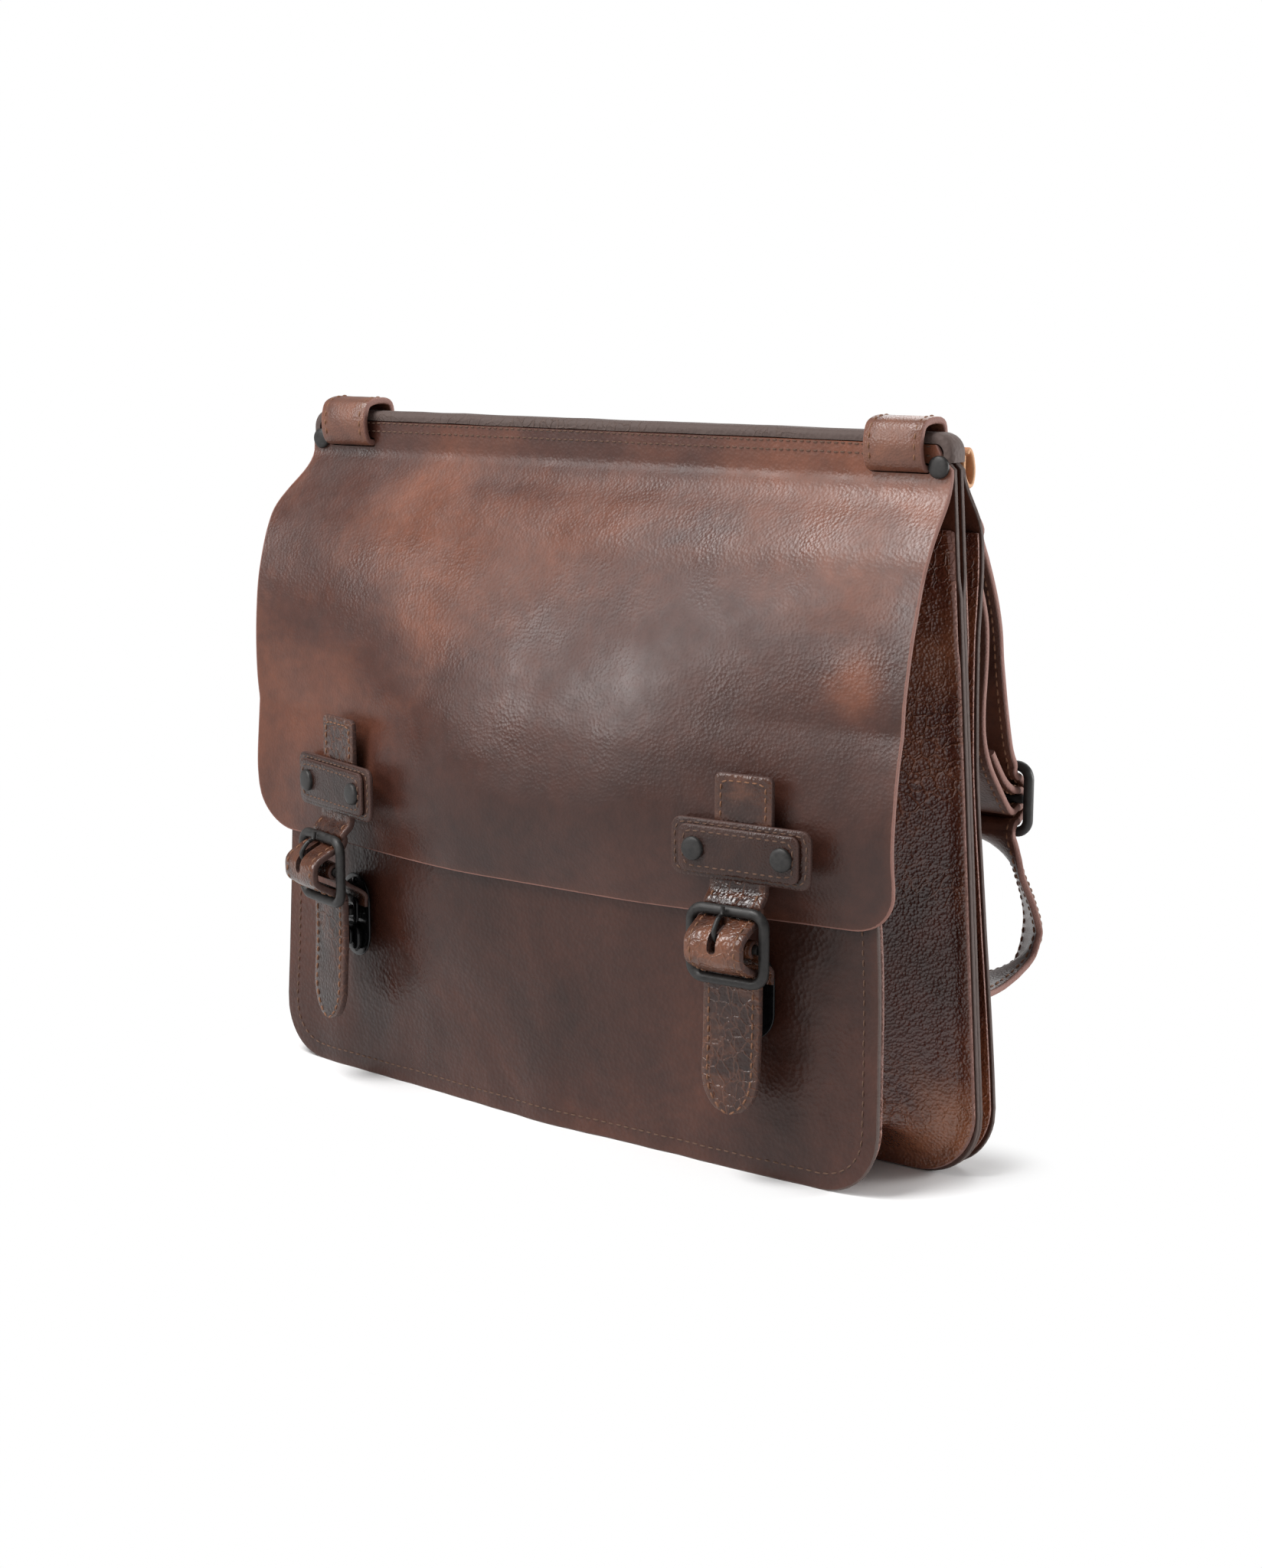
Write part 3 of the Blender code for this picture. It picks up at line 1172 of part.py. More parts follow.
def build_anchor(name, x):
    """Tab sewn to the back panel whose stud holds the strap's lower end."""
    half = 1.25
    stud = 1.6
    place = Matrix.Translation((x, 0, 0))
    base = max(back_depth(x + s * ANCHOR_TAB_WIDTH / 2, z) for s in (-1, 0, 1) for z in (24, 40, 52))
    y = base + GAP + half
    top = ANCHOR_Z + 3.4 - STRAP_THICKNESS / 2 - GAP - half - 0.4
    path = [(y, 24.0), (y, 40.0), (y, top - 14.0), (y + 2.5, top - 5.0), (y + 9.0, top),
            (ANCHOR_Y, top), (ANCHOR_Y + 9.0, top)]
    bm = bmesh.new()
    strip(bm, smooth_path(path, 3), ANCHOR_TAB_WIDTH, 2 * half, place)
    hole = bmesh.new()
    upright = Matrix.Translation((x, ANCHOR_Y, 0)) @ Matrix.Rotation(math.radians(90), 4, "X")
    turned(hole, [(0, top - 9), (stud + GAP, top - 9), (stud + GAP, top + 9), (0, top + 9)],
           upright, 12)
    cutter = new_cutter(f"stud_cutter_{name}", hole)
    new_object(f"anchor_tab_{name}", bm, "strap_leather", None, [cutter])
    low = top - half - GAP
    bm = bmesh.new()
    turned(bm, [(0, low - 2.2), (3.4, low - 2.0), (4.2, low - 1.0), (4.2, low), (stud, low),
                (stud, top + half), (0, top + half)], upright, 14)
    new_object(f"anchor_stud_{name}", bm, "dark_metal")


# ---------------------------------------------------------------- the bag

def main():
    for old in list(bpy.data.objects):
        bpy.data.objects.remove(old, do_unlink=True)
    bar_cut = bar_cutter()
    build_divider(bar_cut)
    build_welt()
    build_front_panel()
    build_back_panel(bar_cut)
    build_gussets()
    hinge_y = -flap_depth(0.0, HINGE_HEIGHT)
    flap_pivot = new_pivot("flap_hinge_pivot", Matrix.Translation((0, hinge_y, HINGE_HEIGHT)))
    frames = {name: closure_frame(name) for name in CLOSURES}
    cutters = {name: closure_cutter(name, frame) for name, frame in frames.items()}
    build_flap(flap_pivot, bar_cut, list(cutters.values()))
    for name, frame in frames.items():
        build_closure(name, flap_pivot, frame, cutters[name])
    for name, side in (("left", -1), ("right", 1)):
        build_corner(name, side)
        build_shoulder_strap(name, side)


main()
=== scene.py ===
"""The satchel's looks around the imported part. Lengths are in millimetres until a mesh is made."""

import math
import random

import bmesh
import bpy
import numpy as np
from mathutils import Matrix, Vector, noise


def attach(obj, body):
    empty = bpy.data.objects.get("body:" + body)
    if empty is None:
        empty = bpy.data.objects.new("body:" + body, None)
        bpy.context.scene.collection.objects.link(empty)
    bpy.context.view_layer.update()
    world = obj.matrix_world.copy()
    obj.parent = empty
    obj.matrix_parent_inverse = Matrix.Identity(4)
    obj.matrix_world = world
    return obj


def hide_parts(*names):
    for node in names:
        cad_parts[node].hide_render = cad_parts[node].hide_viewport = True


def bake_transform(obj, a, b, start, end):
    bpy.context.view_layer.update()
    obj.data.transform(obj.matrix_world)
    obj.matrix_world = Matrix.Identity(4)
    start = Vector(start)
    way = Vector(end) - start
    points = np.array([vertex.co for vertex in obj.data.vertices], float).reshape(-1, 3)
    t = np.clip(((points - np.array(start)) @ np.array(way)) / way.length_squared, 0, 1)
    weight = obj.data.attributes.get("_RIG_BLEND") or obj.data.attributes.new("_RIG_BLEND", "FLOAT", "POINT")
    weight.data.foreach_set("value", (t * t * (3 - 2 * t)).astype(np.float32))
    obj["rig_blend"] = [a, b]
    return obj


MM = 0.001
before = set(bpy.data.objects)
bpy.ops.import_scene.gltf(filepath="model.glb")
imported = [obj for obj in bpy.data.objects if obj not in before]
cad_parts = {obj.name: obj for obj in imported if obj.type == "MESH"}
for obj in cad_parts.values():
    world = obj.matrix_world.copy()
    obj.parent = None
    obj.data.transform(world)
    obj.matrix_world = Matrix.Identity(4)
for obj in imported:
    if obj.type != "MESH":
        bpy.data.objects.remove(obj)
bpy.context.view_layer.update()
GRID = 2.6
random.seed(4)

HEIGHT = 330.0                        # ground to the top of the bar
BASE_HALF, TOP_HALF = 206.3, 185.0    # half the back panel's width, at the ground and at the bar
FRONT, REAR = 68.0, 20.0              # divider plane to the flap's fullest point and to the back panel
CORNER, FLAP_CORNER = 30.0, 22.0      # radii of the lower corners
GAP = 0.3                             # between pieces that touch
FLAP_BOTTOM, FLAP_T = 118.0, 2.0
PANEL_TOP, PANEL_T = 289.0, 1.9
PANEL_INSET, PANEL_SHIFT = 19.8, -2.0  # front panel against the divider, on each side and sideways
LEAF_T, WELT_HEIGHT = 2.1, 4.8
STRAP_W, STRAP_T = 29.5, 3.5
HALF_W, HALF_T = STRAP_W / 2, STRAP_T / 2
STITCH_INSET = 3.4
SLOT_X, SLOT_Z = 160.0, 314.65        # centres of the slots that the strap loops pass through
CLOSURES = {"left": (-124.0, -18.0), "right": (120.0, 3.0)}  # X and yaw of each closure
CLOSURE_Z = 150.0                     # centre of the crosspieces
BUCKLE_W, BUCKLE_H, WIRE = 42.0, 36.0, 2.4  # outer sides of a buckle and the radius of its wire
BAR_RISE = BUCKLE_H / 2 - WIRE        # from a buckle's middle bar to its upper and lower bars
WRAP = WIRE + GAP + HALF_T + 0.8      # radius of a strap's centre line round a bar
BAR_DROP, PLANE = 40.3, -11.5         # closure buckle's middle bar, from the centre of the crosspiece
SHOULDER_Y, SHOULDER_Z = 77.0, 158.0  # middle bar of the shoulder buckles
FOLD_WRAP = 4.05                      # radius of the folded run round that bar
ANCHOR_Z = 69.4                       # height of the shoulder strap's lower end
SHOULDER_SHIFT = 4.0                  # how far the shoulder straps splay on their way down
TWIST = math.radians(-49)             # of the shoulder strap below its buckle


# ---------------------------------------------------------------- small maths

def clamp(v, low=0.0, high=1.0):
    return max(low, min(high, v))


def lerp(a, b, t):
    return a + (b - a) * t


def ease(t):
    t = clamp(t)
    return t * t * (3.0 - 2.0 * t)


def through(points, x):
    """Smooth curve through points given in rising x."""
    if x <= points[0][0]:
        return points[0][1]
    if x >= points[-1][0]:
        return points[-1][1]
    for k in range(len(points) - 1):
        (x0, y0), (x1, y1) = points[k], points[k + 1]
        if x <= x1:
            before, after = points[max(k - 1, 0)], points[min(k + 2, len(points) - 1)]
            m0 = (y1 - before[1]) / (x1 - before[0])
            m1 = (after[1] - y0) / (after[0] - x0)
            h, t = x1 - x0, (x - x0) / (x1 - x0)
            return ((2 * t ** 3 - 3 * t * t + 1) * y0 + (t ** 3 - 2 * t * t + t) * h * m0
                    + (3 * t * t - 2 * t ** 3) * y1 + (t ** 3 - t * t) * h * m1)
    return points[-1][1]


def smooth_path(points, steps):
    ends = [points[0], *points, points[-1]]
    found = []
    for p0, p1, p2, p3 in zip(ends, ends[1:], ends[2:], ends[3:]):
        for k in range(steps):
            t = k / steps
            found.append(tuple(
                0.5 * (2 * b + (c - a) * t + (2 * a - 5 * b + 4 * c - d) * t * t
                       + (3 * b - a - 3 * c + d) * t ** 3)
                for a, b, c, d in zip(p0, p1, p2, p3)))
    found.append(tuple(points[-1]))
    return found


def arc(centre, radius, start, end, steps):
    return [(centre[0] + radius * math.cos(math.radians(lerp(start, end, k / steps))),
             centre[1] + radius * math.sin(math.radians(lerp(start, end, k / steps))))
            for k in range(steps + 1)]


def resample(points, pitch):
    """Points at an even pitch along a polyline."""
    points = [Vector(p) for p in points]
    lengths = [0.0]
    for a, b in zip(points, points[1:]):
        lengths.append(lengths[-1] + (b - a).length)
    count = max(2, round(lengths[-1] / pitch))
    found, k = [], 0
    for i in range(count + 1):
        want = lengths[-1] * i / count
        while k < len(points) - 2 and lengths[k + 1] < want:
            k += 1
        span = max(lengths[k + 1] - lengths[k], 1e-9)
        found.append(points[k].lerp(points[k + 1], clamp((want - lengths[k]) / span)))
    return found


# ---------------------------------------------------------------- the bag's surfaces

def half_width(z):
    return lerp(BASE_HALF, TOP_HALF, z / HEIGHT)


def panel_half(z):
    return half_width(z) - PANEL_INSET


def rounded_half(width_at, z, radius):
    if z >= radius:
        return width_at(z)
    return width_at(z) - radius + math.sqrt(max(radius * radius - (radius - z) ** 2, 0.0))


def leaf_face(z):
    return 2.25 + 1.55 * ease((z - 258.0) / 12.0)


BAR_FACE = leaf_face(HEIGHT) + GAP + FLAP_T


def flap_profile(z):
    return through([
        (FLAP_BOTTOM, 0.897 * FRONT), (144.0, 0.985 * FRONT), (161.0, FRONT), (189.0, 0.94 * FRONT),
        (210.0, 0.855 * FRONT), (227.0, 0.77 * FRONT), (251.0, 0.625 * FRONT), (275.0, 0.45 * FRONT),
        (290.0, 0.29 * FRONT), (301.0, 0.155 * FRONT), (309.0, BAR_FACE + 0.2), (316.0, BAR_FACE),
        (HEIGHT, BAR_FACE)], z)


def ripple(x, z):
    """Gentle dents shared by the flap and the panel under it."""
    slow = noise.noise(Vector((x / 70.0, z / 55.0, 0.3)))
    quick = noise.noise(Vector((x / 26.0 + 9.0, z / 19.0, 1.7)))
    return 1.1 * slow + 0.35 * quick


def flap_depth(u, z):
    if u < 0:
        fall = 0.45 * ease((-u - 0.15) / 0.85) * clamp((285.0 - z) / 100.0)
    else:
        fall = 0.25 * ease((u - 0.2) / 0.8) * clamp((285.0 - z) / 80.0)
    return BAR_FACE + (flap_profile(z) - BAR_FACE) * (1.0 - fall)


def flap_half(z, left):
    at_bar = half_width(HEIGHT) + 1.0
    if left:
        return at_bar + 10.0 * ease((308.0 - z) / 30.0) + 2.5 * clamp((275.0 - z) / 125.0)
    return at_bar + 2.0 * clamp((308.0 - z) / 30.0)


def flap_face(x, z):
    soft = ease((306.0 - z) / 40.0)
    closure = min(Vector((x - cx, z - CLOSURE_Z)).length for cx, _ in CLOSURES.values())
    return -flap_depth(x / flap_half(z, x < 0), z) - ripple(x, z) * soft * ease((closure - 25.0) / 45.0)


def panel_depth(x, z):
    over = max(z, FLAP_BOTTOM)
    under = flap_depth(x / flap_half(over, x < 0), over)
    slope = abs(flap_profile(z + 2.0) - flap_profile(z - 2.0)) / 4.0 if z > FLAP_BOTTOM + 2 else 0.0
    under -= 2.9 * math.sqrt(1.0 + slope * slope) + 0.4 * slope
    centre = 0.772 * FRONT
    foot = centre + 0.098 * x if x < 0 else centre
    return lerp(foot, under, ease(z / FLAP_BOTTOM))


def panel_face(x, z):
    low = ease((112.0 - z) / 20.0)
    buckle = min(Vector((x - cx, (z - 83.0) * 0.6)).length for cx, _ in CLOSURES.values())
    crease = 0.5 * noise.noise(Vector((x / 14.0, z / 42.0, 5.0))) * ease((60.0 - z) / 40.0)
    return -panel_depth(x, z) - (0.8 * ripple(x + 40.0, z) + crease) * low * ease((buckle - 16.0) / 25.0)


def back_face(x, z):
    """Y of the back panel's outer face."""
    profile = through([
        (0.0, 0.65 * REAR), (30.0, 0.7 * REAR), (75.0, 0.65 * REAR), (114.0, 0.55 * REAR),
        (165.0, 0.45 * REAR), (189.0, 0.45 * REAR), (235.0, 0.65 * REAR), (286.0, 0.97 * REAR),
        (311.0, BAR_FACE), (HEIGHT, BAR_FACE)], z)
    bulge = 5.0 * (1.0 - clamp(abs(x) / half_width(z)) ** 2) * ease(z / 60.0)
    soft = ease(z / 40.0) * ease((285.0 - z) / 40.0)
    return profile + bulge * ease((280.0 - z) / 40.0) + 0.5 * ripple(x - 90.0, z) * soft


# ---------------------------------------------------------------- meshes

def new_piece(name, bm, material, body, stands_for):
    """Finished object of a mesh in millimetres, on its body and in place of the nodes it stands for."""
    bmesh.ops.scale(bm, vec=(MM, MM, MM), verts=bm.verts)
    bmesh.ops.recalc_face_normals(bm, faces=bm.faces)
    mesh = bpy.data.meshes.new(name)
    bm.to_mesh(mesh)
    bm.free()
    mesh.materials.append(material)
    mesh.shade_smooth()
    mesh.set_sharp_from_angle(angle=math.radians(50))
    piece = bpy.data.objects.new(name, mesh)
    bpy.context.scene.collection.objects.link(piece)
    if body:
        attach(piece, body)
    if stands_for:
        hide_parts(*stands_for)
    return piece


def new_bm():
    """Mesh whose points hold their distance from the leather's cut edge."""
    bm = bmesh.new()
    bm.verts.layers.float.new("edge")
    return bm


def join_rings(bm, rings, closed=False):
    """Faces from each ring of points to the next, and from the last to the first if closed."""
    for a, b in zip(rings, rings[1:] + rings[:1] if closed else rings[1:]):
        for s in range(len(a)):
            n = (s + 1) % len(a)
            bm.faces.new((a[s], a[n], b[n], b[s]))


def cap_rings(bm, rings):
    bm.faces.new(rings[0])
    bm.faces.new(list(reversed(rings[-1])))


def grid_solid(bm, outer, inner, margins):
    """Sheet between two grids; margins holds each point's distance from the cut edge."""
    layer = bm.verts.layers.float["edge"]

    def make(grid):
        rows = []
        for row, far in zip(grid, margins):
            made = []
            for p, m in zip(row, far):
                v = bm.verts.new(p)
                v[layer] = m
                made.append(v)
            rows.append(made)
        return rows

    a, b = make(outer), make(inner)
    rows, columns = len(a), len(a[0])
    for i in range(rows - 1):
        for j in range(columns - 1):
            bm.faces.new((a[i][j], a[i][j + 1], a[i + 1][j + 1], a[i + 1][j]))
            bm.faces.new((b[i][j], b[i + 1][j], b[i + 1][j + 1], b[i][j + 1]))

    def wall(first, second, first_inside, second_inside):
        """Rounded cut edge between the two faces' borders, out from the rows just inside them."""
        middle = []
        for p, q, pin, qin in zip(first, second, first_inside, second_inside):
            out = (p.co + q.co) / 2 - (pin.co + qin.co) / 2
            span = (p.co - q.co).length
            v = bm.verts.new((p.co + q.co) / 2 + (out.normalized() * span * 0.22 if out.length else out))
            v[layer] = -1.0
            middle.append(v)
        for k in range(len(first) - 1):
            bm.faces.new((first[k], middle[k], middle[k + 1], first[k + 1]))
            bm.faces.new((middle[k], second[k], second[k + 1], middle[k + 1]))
        return middle

    span = range(rows)
    ends = []
    for j, inside in ((0, 1), (-1, -2)):
        ends.append(wall([a[i][j] for i in span], [b[i][j] for i in span],
                         [a[i][inside] for i in span], [b[i][inside] for i in span]))
    for i, inside in ((0, 1), (-1, -2)):
        middle = wall(a[i], b[i], a[inside], b[inside])
        bm.faces.new((a[i][0], middle[0], b[i][0], ends[0][i]))
        bm.faces.new((a[i][-1], middle[-1], b[i][-1], ends[1][i]))


def heights_between(bottom, top, radius):
    """Rows of a sheet, closer together where its lower corners are rounded."""
    rows = [bottom + radius * (1.0 - math.cos(math.radians(a))) for a in range(0, 84, 7)]
    count = max(2, round((top - bottom - radius) / GRID))
    return rows + [lerp(bottom + radius, top, k / count) for k in range(count + 1)]


def outline_of(edges, heights):
    """(x, z) points down the left side, along the bottom and up the right side."""
    left = [(edges(z)[0], z) for z in reversed(heights)]
    right = [(edges(z)[1], z) for z in heights]
    bottom = [(lerp(left[-1][0], right[0][0], k / 60), heights[0]) for k in range(1, 60)]
    return left + bottom + right


def margin_to(outline, points):
    """Distance of each (x, z) point from the outline."""
    a = np.array(outline[:-1])
    d = np.array(outline[1:]) - a
    points = np.array(points)
    rel = points[:, None, :] - a[None]
    t = np.clip((rel * d).sum(-1) / np.maximum((d * d).sum(-1), 1e-9), 0, 1)
    return np.sqrt((((rel - d * t[..., None]) ** 2).sum(-1)).min(1))


def sheet_piece(name, heights, edges, face, inner, material, body, stands_for):
    """Leather sheet whose outer face is y = face(x, z) and whose other face is y = inner(x, z)."""
    columns = max(6, round((edges(heights[-1])[1] - edges(heights[-1])[0]) / GRID))
    outline = outline_of(edges, heights)
    flat = []
    for z in heights:
        left, right = edges(z)
        flat.append([(lerp(left, right, k / columns), z) for k in range(columns + 1)])
    margins = margin_to(outline, [p for row in flat for p in row]).reshape(len(flat), -1)
    bm = new_bm()
    grid_solid(
        bm,
        [[Vector((x, face(x, z), z)) for x, z in row] for row in flat],
        [[Vector((x, inner(x, z), z)) for x, z in row] for row in flat],
        margins,
    )
    return new_piece(name, bm, material, body, stands_for)


def section_points(half, thickness, dome=0.35):
    """Cross-section of a strap: (across, out, distance from its edge)."""
    t = thickness / 2
    r = min(t * 0.55, half * 0.4)
    pts = []
    for share in (0.0, 0.1, 0.2, 0.35, 0.5, 0.65, 0.8, 0.9, 1.0):
        x = lerp(-half + r, half - r, share)
        pts.append((x, t + dome * math.sin(math.pi * share) - dome * 0.3, half - abs(x)))
    pts += [(half - r * 0.35, t - r * 0.35 - dome * 0.3, 0.2), (half, t * 0.4, -1.0), (half, -t * 0.4, -1.0),
            (half - r * 0.35, -t + r * 0.35, 0.2)]
    for share in (1.0, 0.75, 0.5, 0.25, 0.0):
        x = lerp(-half + r, half - r, share)
        pts.append((x, -t, half - abs(x)))
    pts += [(-half + r * 0.35, -t + r * 0.35, 0.2), (-half, -t * 0.4, -1.0), (-half, t * 0.4, -1.0),
            (-half + r * 0.35, t - r * 0.35 - dome * 0.3, 0.2)]
    return pts


def turned_by(angle, across, lift):
    """A point of a strap's section, turned about the strap's centre line."""
    return (across * math.cos(angle) - lift * math.sin(angle),
            across * math.sin(angle) + lift * math.cos(angle))


def normals_of(path, closed=False):
    found = []
    n = len(path)
    for k in range(n):
        a = path[k - 1] if closed or k else path[k]
        b = path[(k + 1) % n] if closed or k < n - 1 else path[k]
        d = Vector((b[0] - a[0], b[1] - a[1])).normalized()
        found.append(Vector((-d.y, d.x)))
    return found


def strap_piece(name, path, width, thickness, place, material, body, stands_for,
                halves=None, shifts=None, closed=False, outward=1, wobble=0.25, twists=None):
    """Strap along a (y, z) path, domed on its outward side."""
    bm = new_bm()
    layer = bm.verts.layers.float["edge"]
    halves = halves or [width / 2] * len(path)
    shifts = shifts or [0.0] * len(path)
    twists = twists or [0.0] * len(path)
    rings = []
    for (y, z), n, half, shift, turn in zip(path, normals_of(path, closed), halves, shifts, twists):
        ring = []
        for across, out, far in section_points(half, thickness):
            across, lift = turned_by(turn, across, out * outward)
            lift += wobble * noise.noise(Vector((across / 9.0 + shift, y / 11.0, z / 11.0)))
            v = bm.verts.new(place @ Vector((across + shift, y + n.x * lift, z + n.y * lift)))
            v[layer] = far
            ring.append(v)
        rings.append(ring)
    join_rings(bm, rings, closed)
    if not closed:
        for ring in (rings[0], rings[-1]):
            middle = bm.verts.new(sum((v.co for v in ring), Vector()) / len(ring))
            middle[layer] = -1.0
            for s in range(len(ring)):
                bm.faces.new((ring[s], ring[(s + 1) % len(ring)], middle))
    return new_piece(name, bm, material, body, stands_for)


def add_stitch(bm, centre, along, out, length=3.0, radius=0.5):
    """One raised stitch, sunk a little at its ends."""
    along = along.normalized()
    side = along.cross(out).normalized()
    out = side.cross(along).normalized()
    rings = []
    for t, size, drop in ((-1.0, 0.25, -0.5), (-0.75, 0.8, -0.1), (0.0, 1.0, 0.12), (0.75, 0.8, -0.1),
                          (1.0, 0.25, -0.5)):
        middle = centre + along * t * length / 2 + out * drop * radius
        rings.append([bm.verts.new(middle + side * math.cos(a) * radius * size
                                   + out * math.sin(a) * radius * size)
                      for a in (k * math.tau / 6 for k in range(6))])
    join_rings(bm, rings)
    cap_rings(bm, rings)


def stitch_line(bm, points, outs, pitch=4.3, length=3.1, radius=0.5):
    """Stitches along 3-D points whose outward directions are given."""
    tone_and_light_spots = resample(points, pitch)
    where = np.array([list(p) for p in points])
    for a, b in zip(tone_and_light_spots, tone_and_light_spots[1:]):
        centre = (a + b) / 2
        near = int(((where - np.array(centre)) ** 2).sum(1).argmin())
        jitter = Vector((random.uniform(-0.12, 0.12), 0, random.uniform(-0.12, 0.12)))
        add_stitch(bm, centre + jitter, b - a, outs[near], length * random.uniform(0.9, 1.05), radius)


def strap_stitches(name, path, place, inset, thickness, body, halves, shifts=None, outward=1,
                   start=0, end=None, both=False, twists=None):
    """A line of stitches along each side of a strap."""
    bm = bmesh.new()
    shifts = shifts or [0.0] * len(path)
    twists = twists or [0.0] * len(path)
    normal = normals_of(path)
    turn = place.to_3x3()
    end = len(path) if end is None else end
    for face in ((outward, -outward) if both else (outward,)):
        for side in (-1, 1):
            points, outs = [], []
            for k in range(start, end):
                half = max(halves[k] - inset, 0.4)
                n, (y, z), angle = normal[k], path[k], twists[k]
                across, lift = turned_by(angle, side * half, face * (thickness / 2 + 0.12))
                points.append(place @ Vector((across + shifts[k], y + n.x * lift, z + n.y * lift)))
                outs.append(turn @ Vector((-math.sin(angle) * face, n.x * math.cos(angle) * face,
                                           n.y * math.cos(angle) * face)))
            stitch_line(bm, points, outs)
    return new_piece(name, bm, THREAD, body, None)


def face_stitches(name, outline, face, front, body, radius=0.42, pitch=4.4):
    """Stitches along an (x, z) line on the surface y = face(x, z); front is -1 or 1."""
    points, outs = [], []
    for x, z in outline:
        gx = (face(x + 1, z) - face(x - 1, z)) / 2
        gz = (face(x, z + 1) - face(x, z - 1)) / 2
        out = Vector((-gx, 1.0, -gz)).normalized() * front
        points.append(Vector((x, face(x, z), z)) + out * 0.12)
        outs.append(out)
    bm = bmesh.new()
    stitch_line(bm, points, outs, pitch, pitch * 0.7, radius)
    return new_piece(name, bm, DARK_THREAD, body, None)


def inset_line(outline, distance):
    """The outline moved inwards: up and towards the middle."""
    points = []
    for k, (x, z) in enumerate(outline):
        a, b = outline[max(k - 1, 0)], outline[min(k + 1, len(outline) - 1)]
        d = Vector((b[0] - a[0], b[1] - a[1]))
        if d.length < 1e-6:
            continue
        d.normalize()
        points.append((x - d.y * distance, z + d.x * distance))
    return points


def rounded_rectangle(width, height, radius, centre=(0.0, 0.0), steps=8):
    cx, cz = centre
    hw, hh = width / 2 - radius, height / 2 - radius
    found = []
    for sx, sz, start in ((1, 1, 0), (-1, 1, 90), (-1, -1, 180), (1, -1, 270)):
        found += arc((cx + sx * hw, cz + sz * hh), radius, start, start + 90, steps)
    return found


def slab_piece(name, outline, low, high, place, material, body, stands_for, rim=0.6, dome=0.3,
               hole=None):
    """Plate with a rounded rim from low (out) to high; hole is an outline of as many points."""
    centre = Vector((sum(p[0] for p in outline), sum(p[1] for p in outline))) / len(outline)

    def ring_at(inset, y, source=outline, towards=1.0):
        found = []
        middle = Vector((sum(p[0] for p in source), sum(p[1] for p in source))) / len(source)
        for p in source:
            d = middle - Vector(p)
            step = d.normalized() * inset * towards
            found.append(Vector((p[0] + step.x, y, p[1] + step.y)))
        return found

    bm = new_bm()
    layer = bm.verts.layers.float["edge"]
    rings = [(ring_at(rim, high), 0.3), (ring_at(0.0, high - rim), -1.0), (ring_at(0.0, low + rim), -1.0),
             (ring_at(rim * 0.3, low + rim * 0.3), 0.2), (ring_at(rim, low), rim),
             (ring_at(3.5, low - dome * 0.6), 3.5)]
    if hole:
        rings += [(ring_at(0.4, low - dome * 0.6, hole, -1.0), 2.0), (ring_at(0.0, low + 0.3, hole), 2.0),
                  (ring_at(0.0, high, hole), 2.0)]
    else:
        rings += [([Vector((lerp(centre.x, p.x, 0.45), low - dome, lerp(centre.y, p.z, 0.45)))
                    for p in ring_at(3.5, low)], 7.0)]
    made = []
    for ring, far in rings:
        row = []
        for p in ring:
            v = bm.verts.new(place @ p)
            v[layer] = far
            row.append(v)
        made.append(row)
    join_rings(bm, made, bool(hole))
    if not hole:
        cap_rings(bm, made)
    return new_piece(name, bm, material, body, stands_for)


def tube_piece(name, path, radius, place, material, body, stands_for, closed=False, sides=16,
               radii=None):
    """Round bar or wire along a path of 3-D points."""
    bm = new_bm()
    count = len(path)
    radii = radii or [radius] * count
    rings = []
    for k, point in enumerate(path):
        a = path[k - 1] if closed or k else path[k]
        b = path[(k + 1) % count] if closed or k < count - 1 else path[k]
        along = (Vector(b) - Vector(a)).normalized()
        side = along.cross(Vector((0, 1, 0)))
        if side.length < 0.5:
            side = along.cross(Vector((1, 0, 0)))
        side.normalize()
        other = side.cross(along)
        rings.append([bm.verts.new(place @ (Vector(point) + side * radii[k] * math.cos(turn)
                                            + other * radii[k] * math.sin(turn)))
                      for turn in (math.tau * s / sides for s in range(sides))])
    join_rings(bm, rings, closed)
    if not closed:
        cap_rings(bm, rings)
    return new_piece(name, bm, material, body, stands_for)


def turned_piece(name, profile, place, material, body, stands_for, sides=32):
    """Turned part about the Y axis, from a profile of (radius, y)."""
    bm = new_bm()
    first = bm.verts.new(place @ Vector((0, profile[0][1], 0)))
    last = bm.verts.new(place @ Vector((0, profile[-1][1], 0)))
    rings = [[bm.verts.new(place @ Vector((r * math.cos(math.tau * k / sides), y,
                                           r * math.sin(math.tau * k / sides))))
              for k in range(sides)] for r, y in profile[1:-1]]
    for k in range(sides):
        n = (k + 1) % sides
        bm.faces.new((first, rings[0][k], rings[0][n]))
        bm.faces.new((last, rings[-1][n], rings[-1][k]))
        for a, b in zip(rings, rings[1:]):
            bm.faces.new((a[k], b[k], b[n], a[n]))
    return new_piece(name, bm, material, body, stands_for)


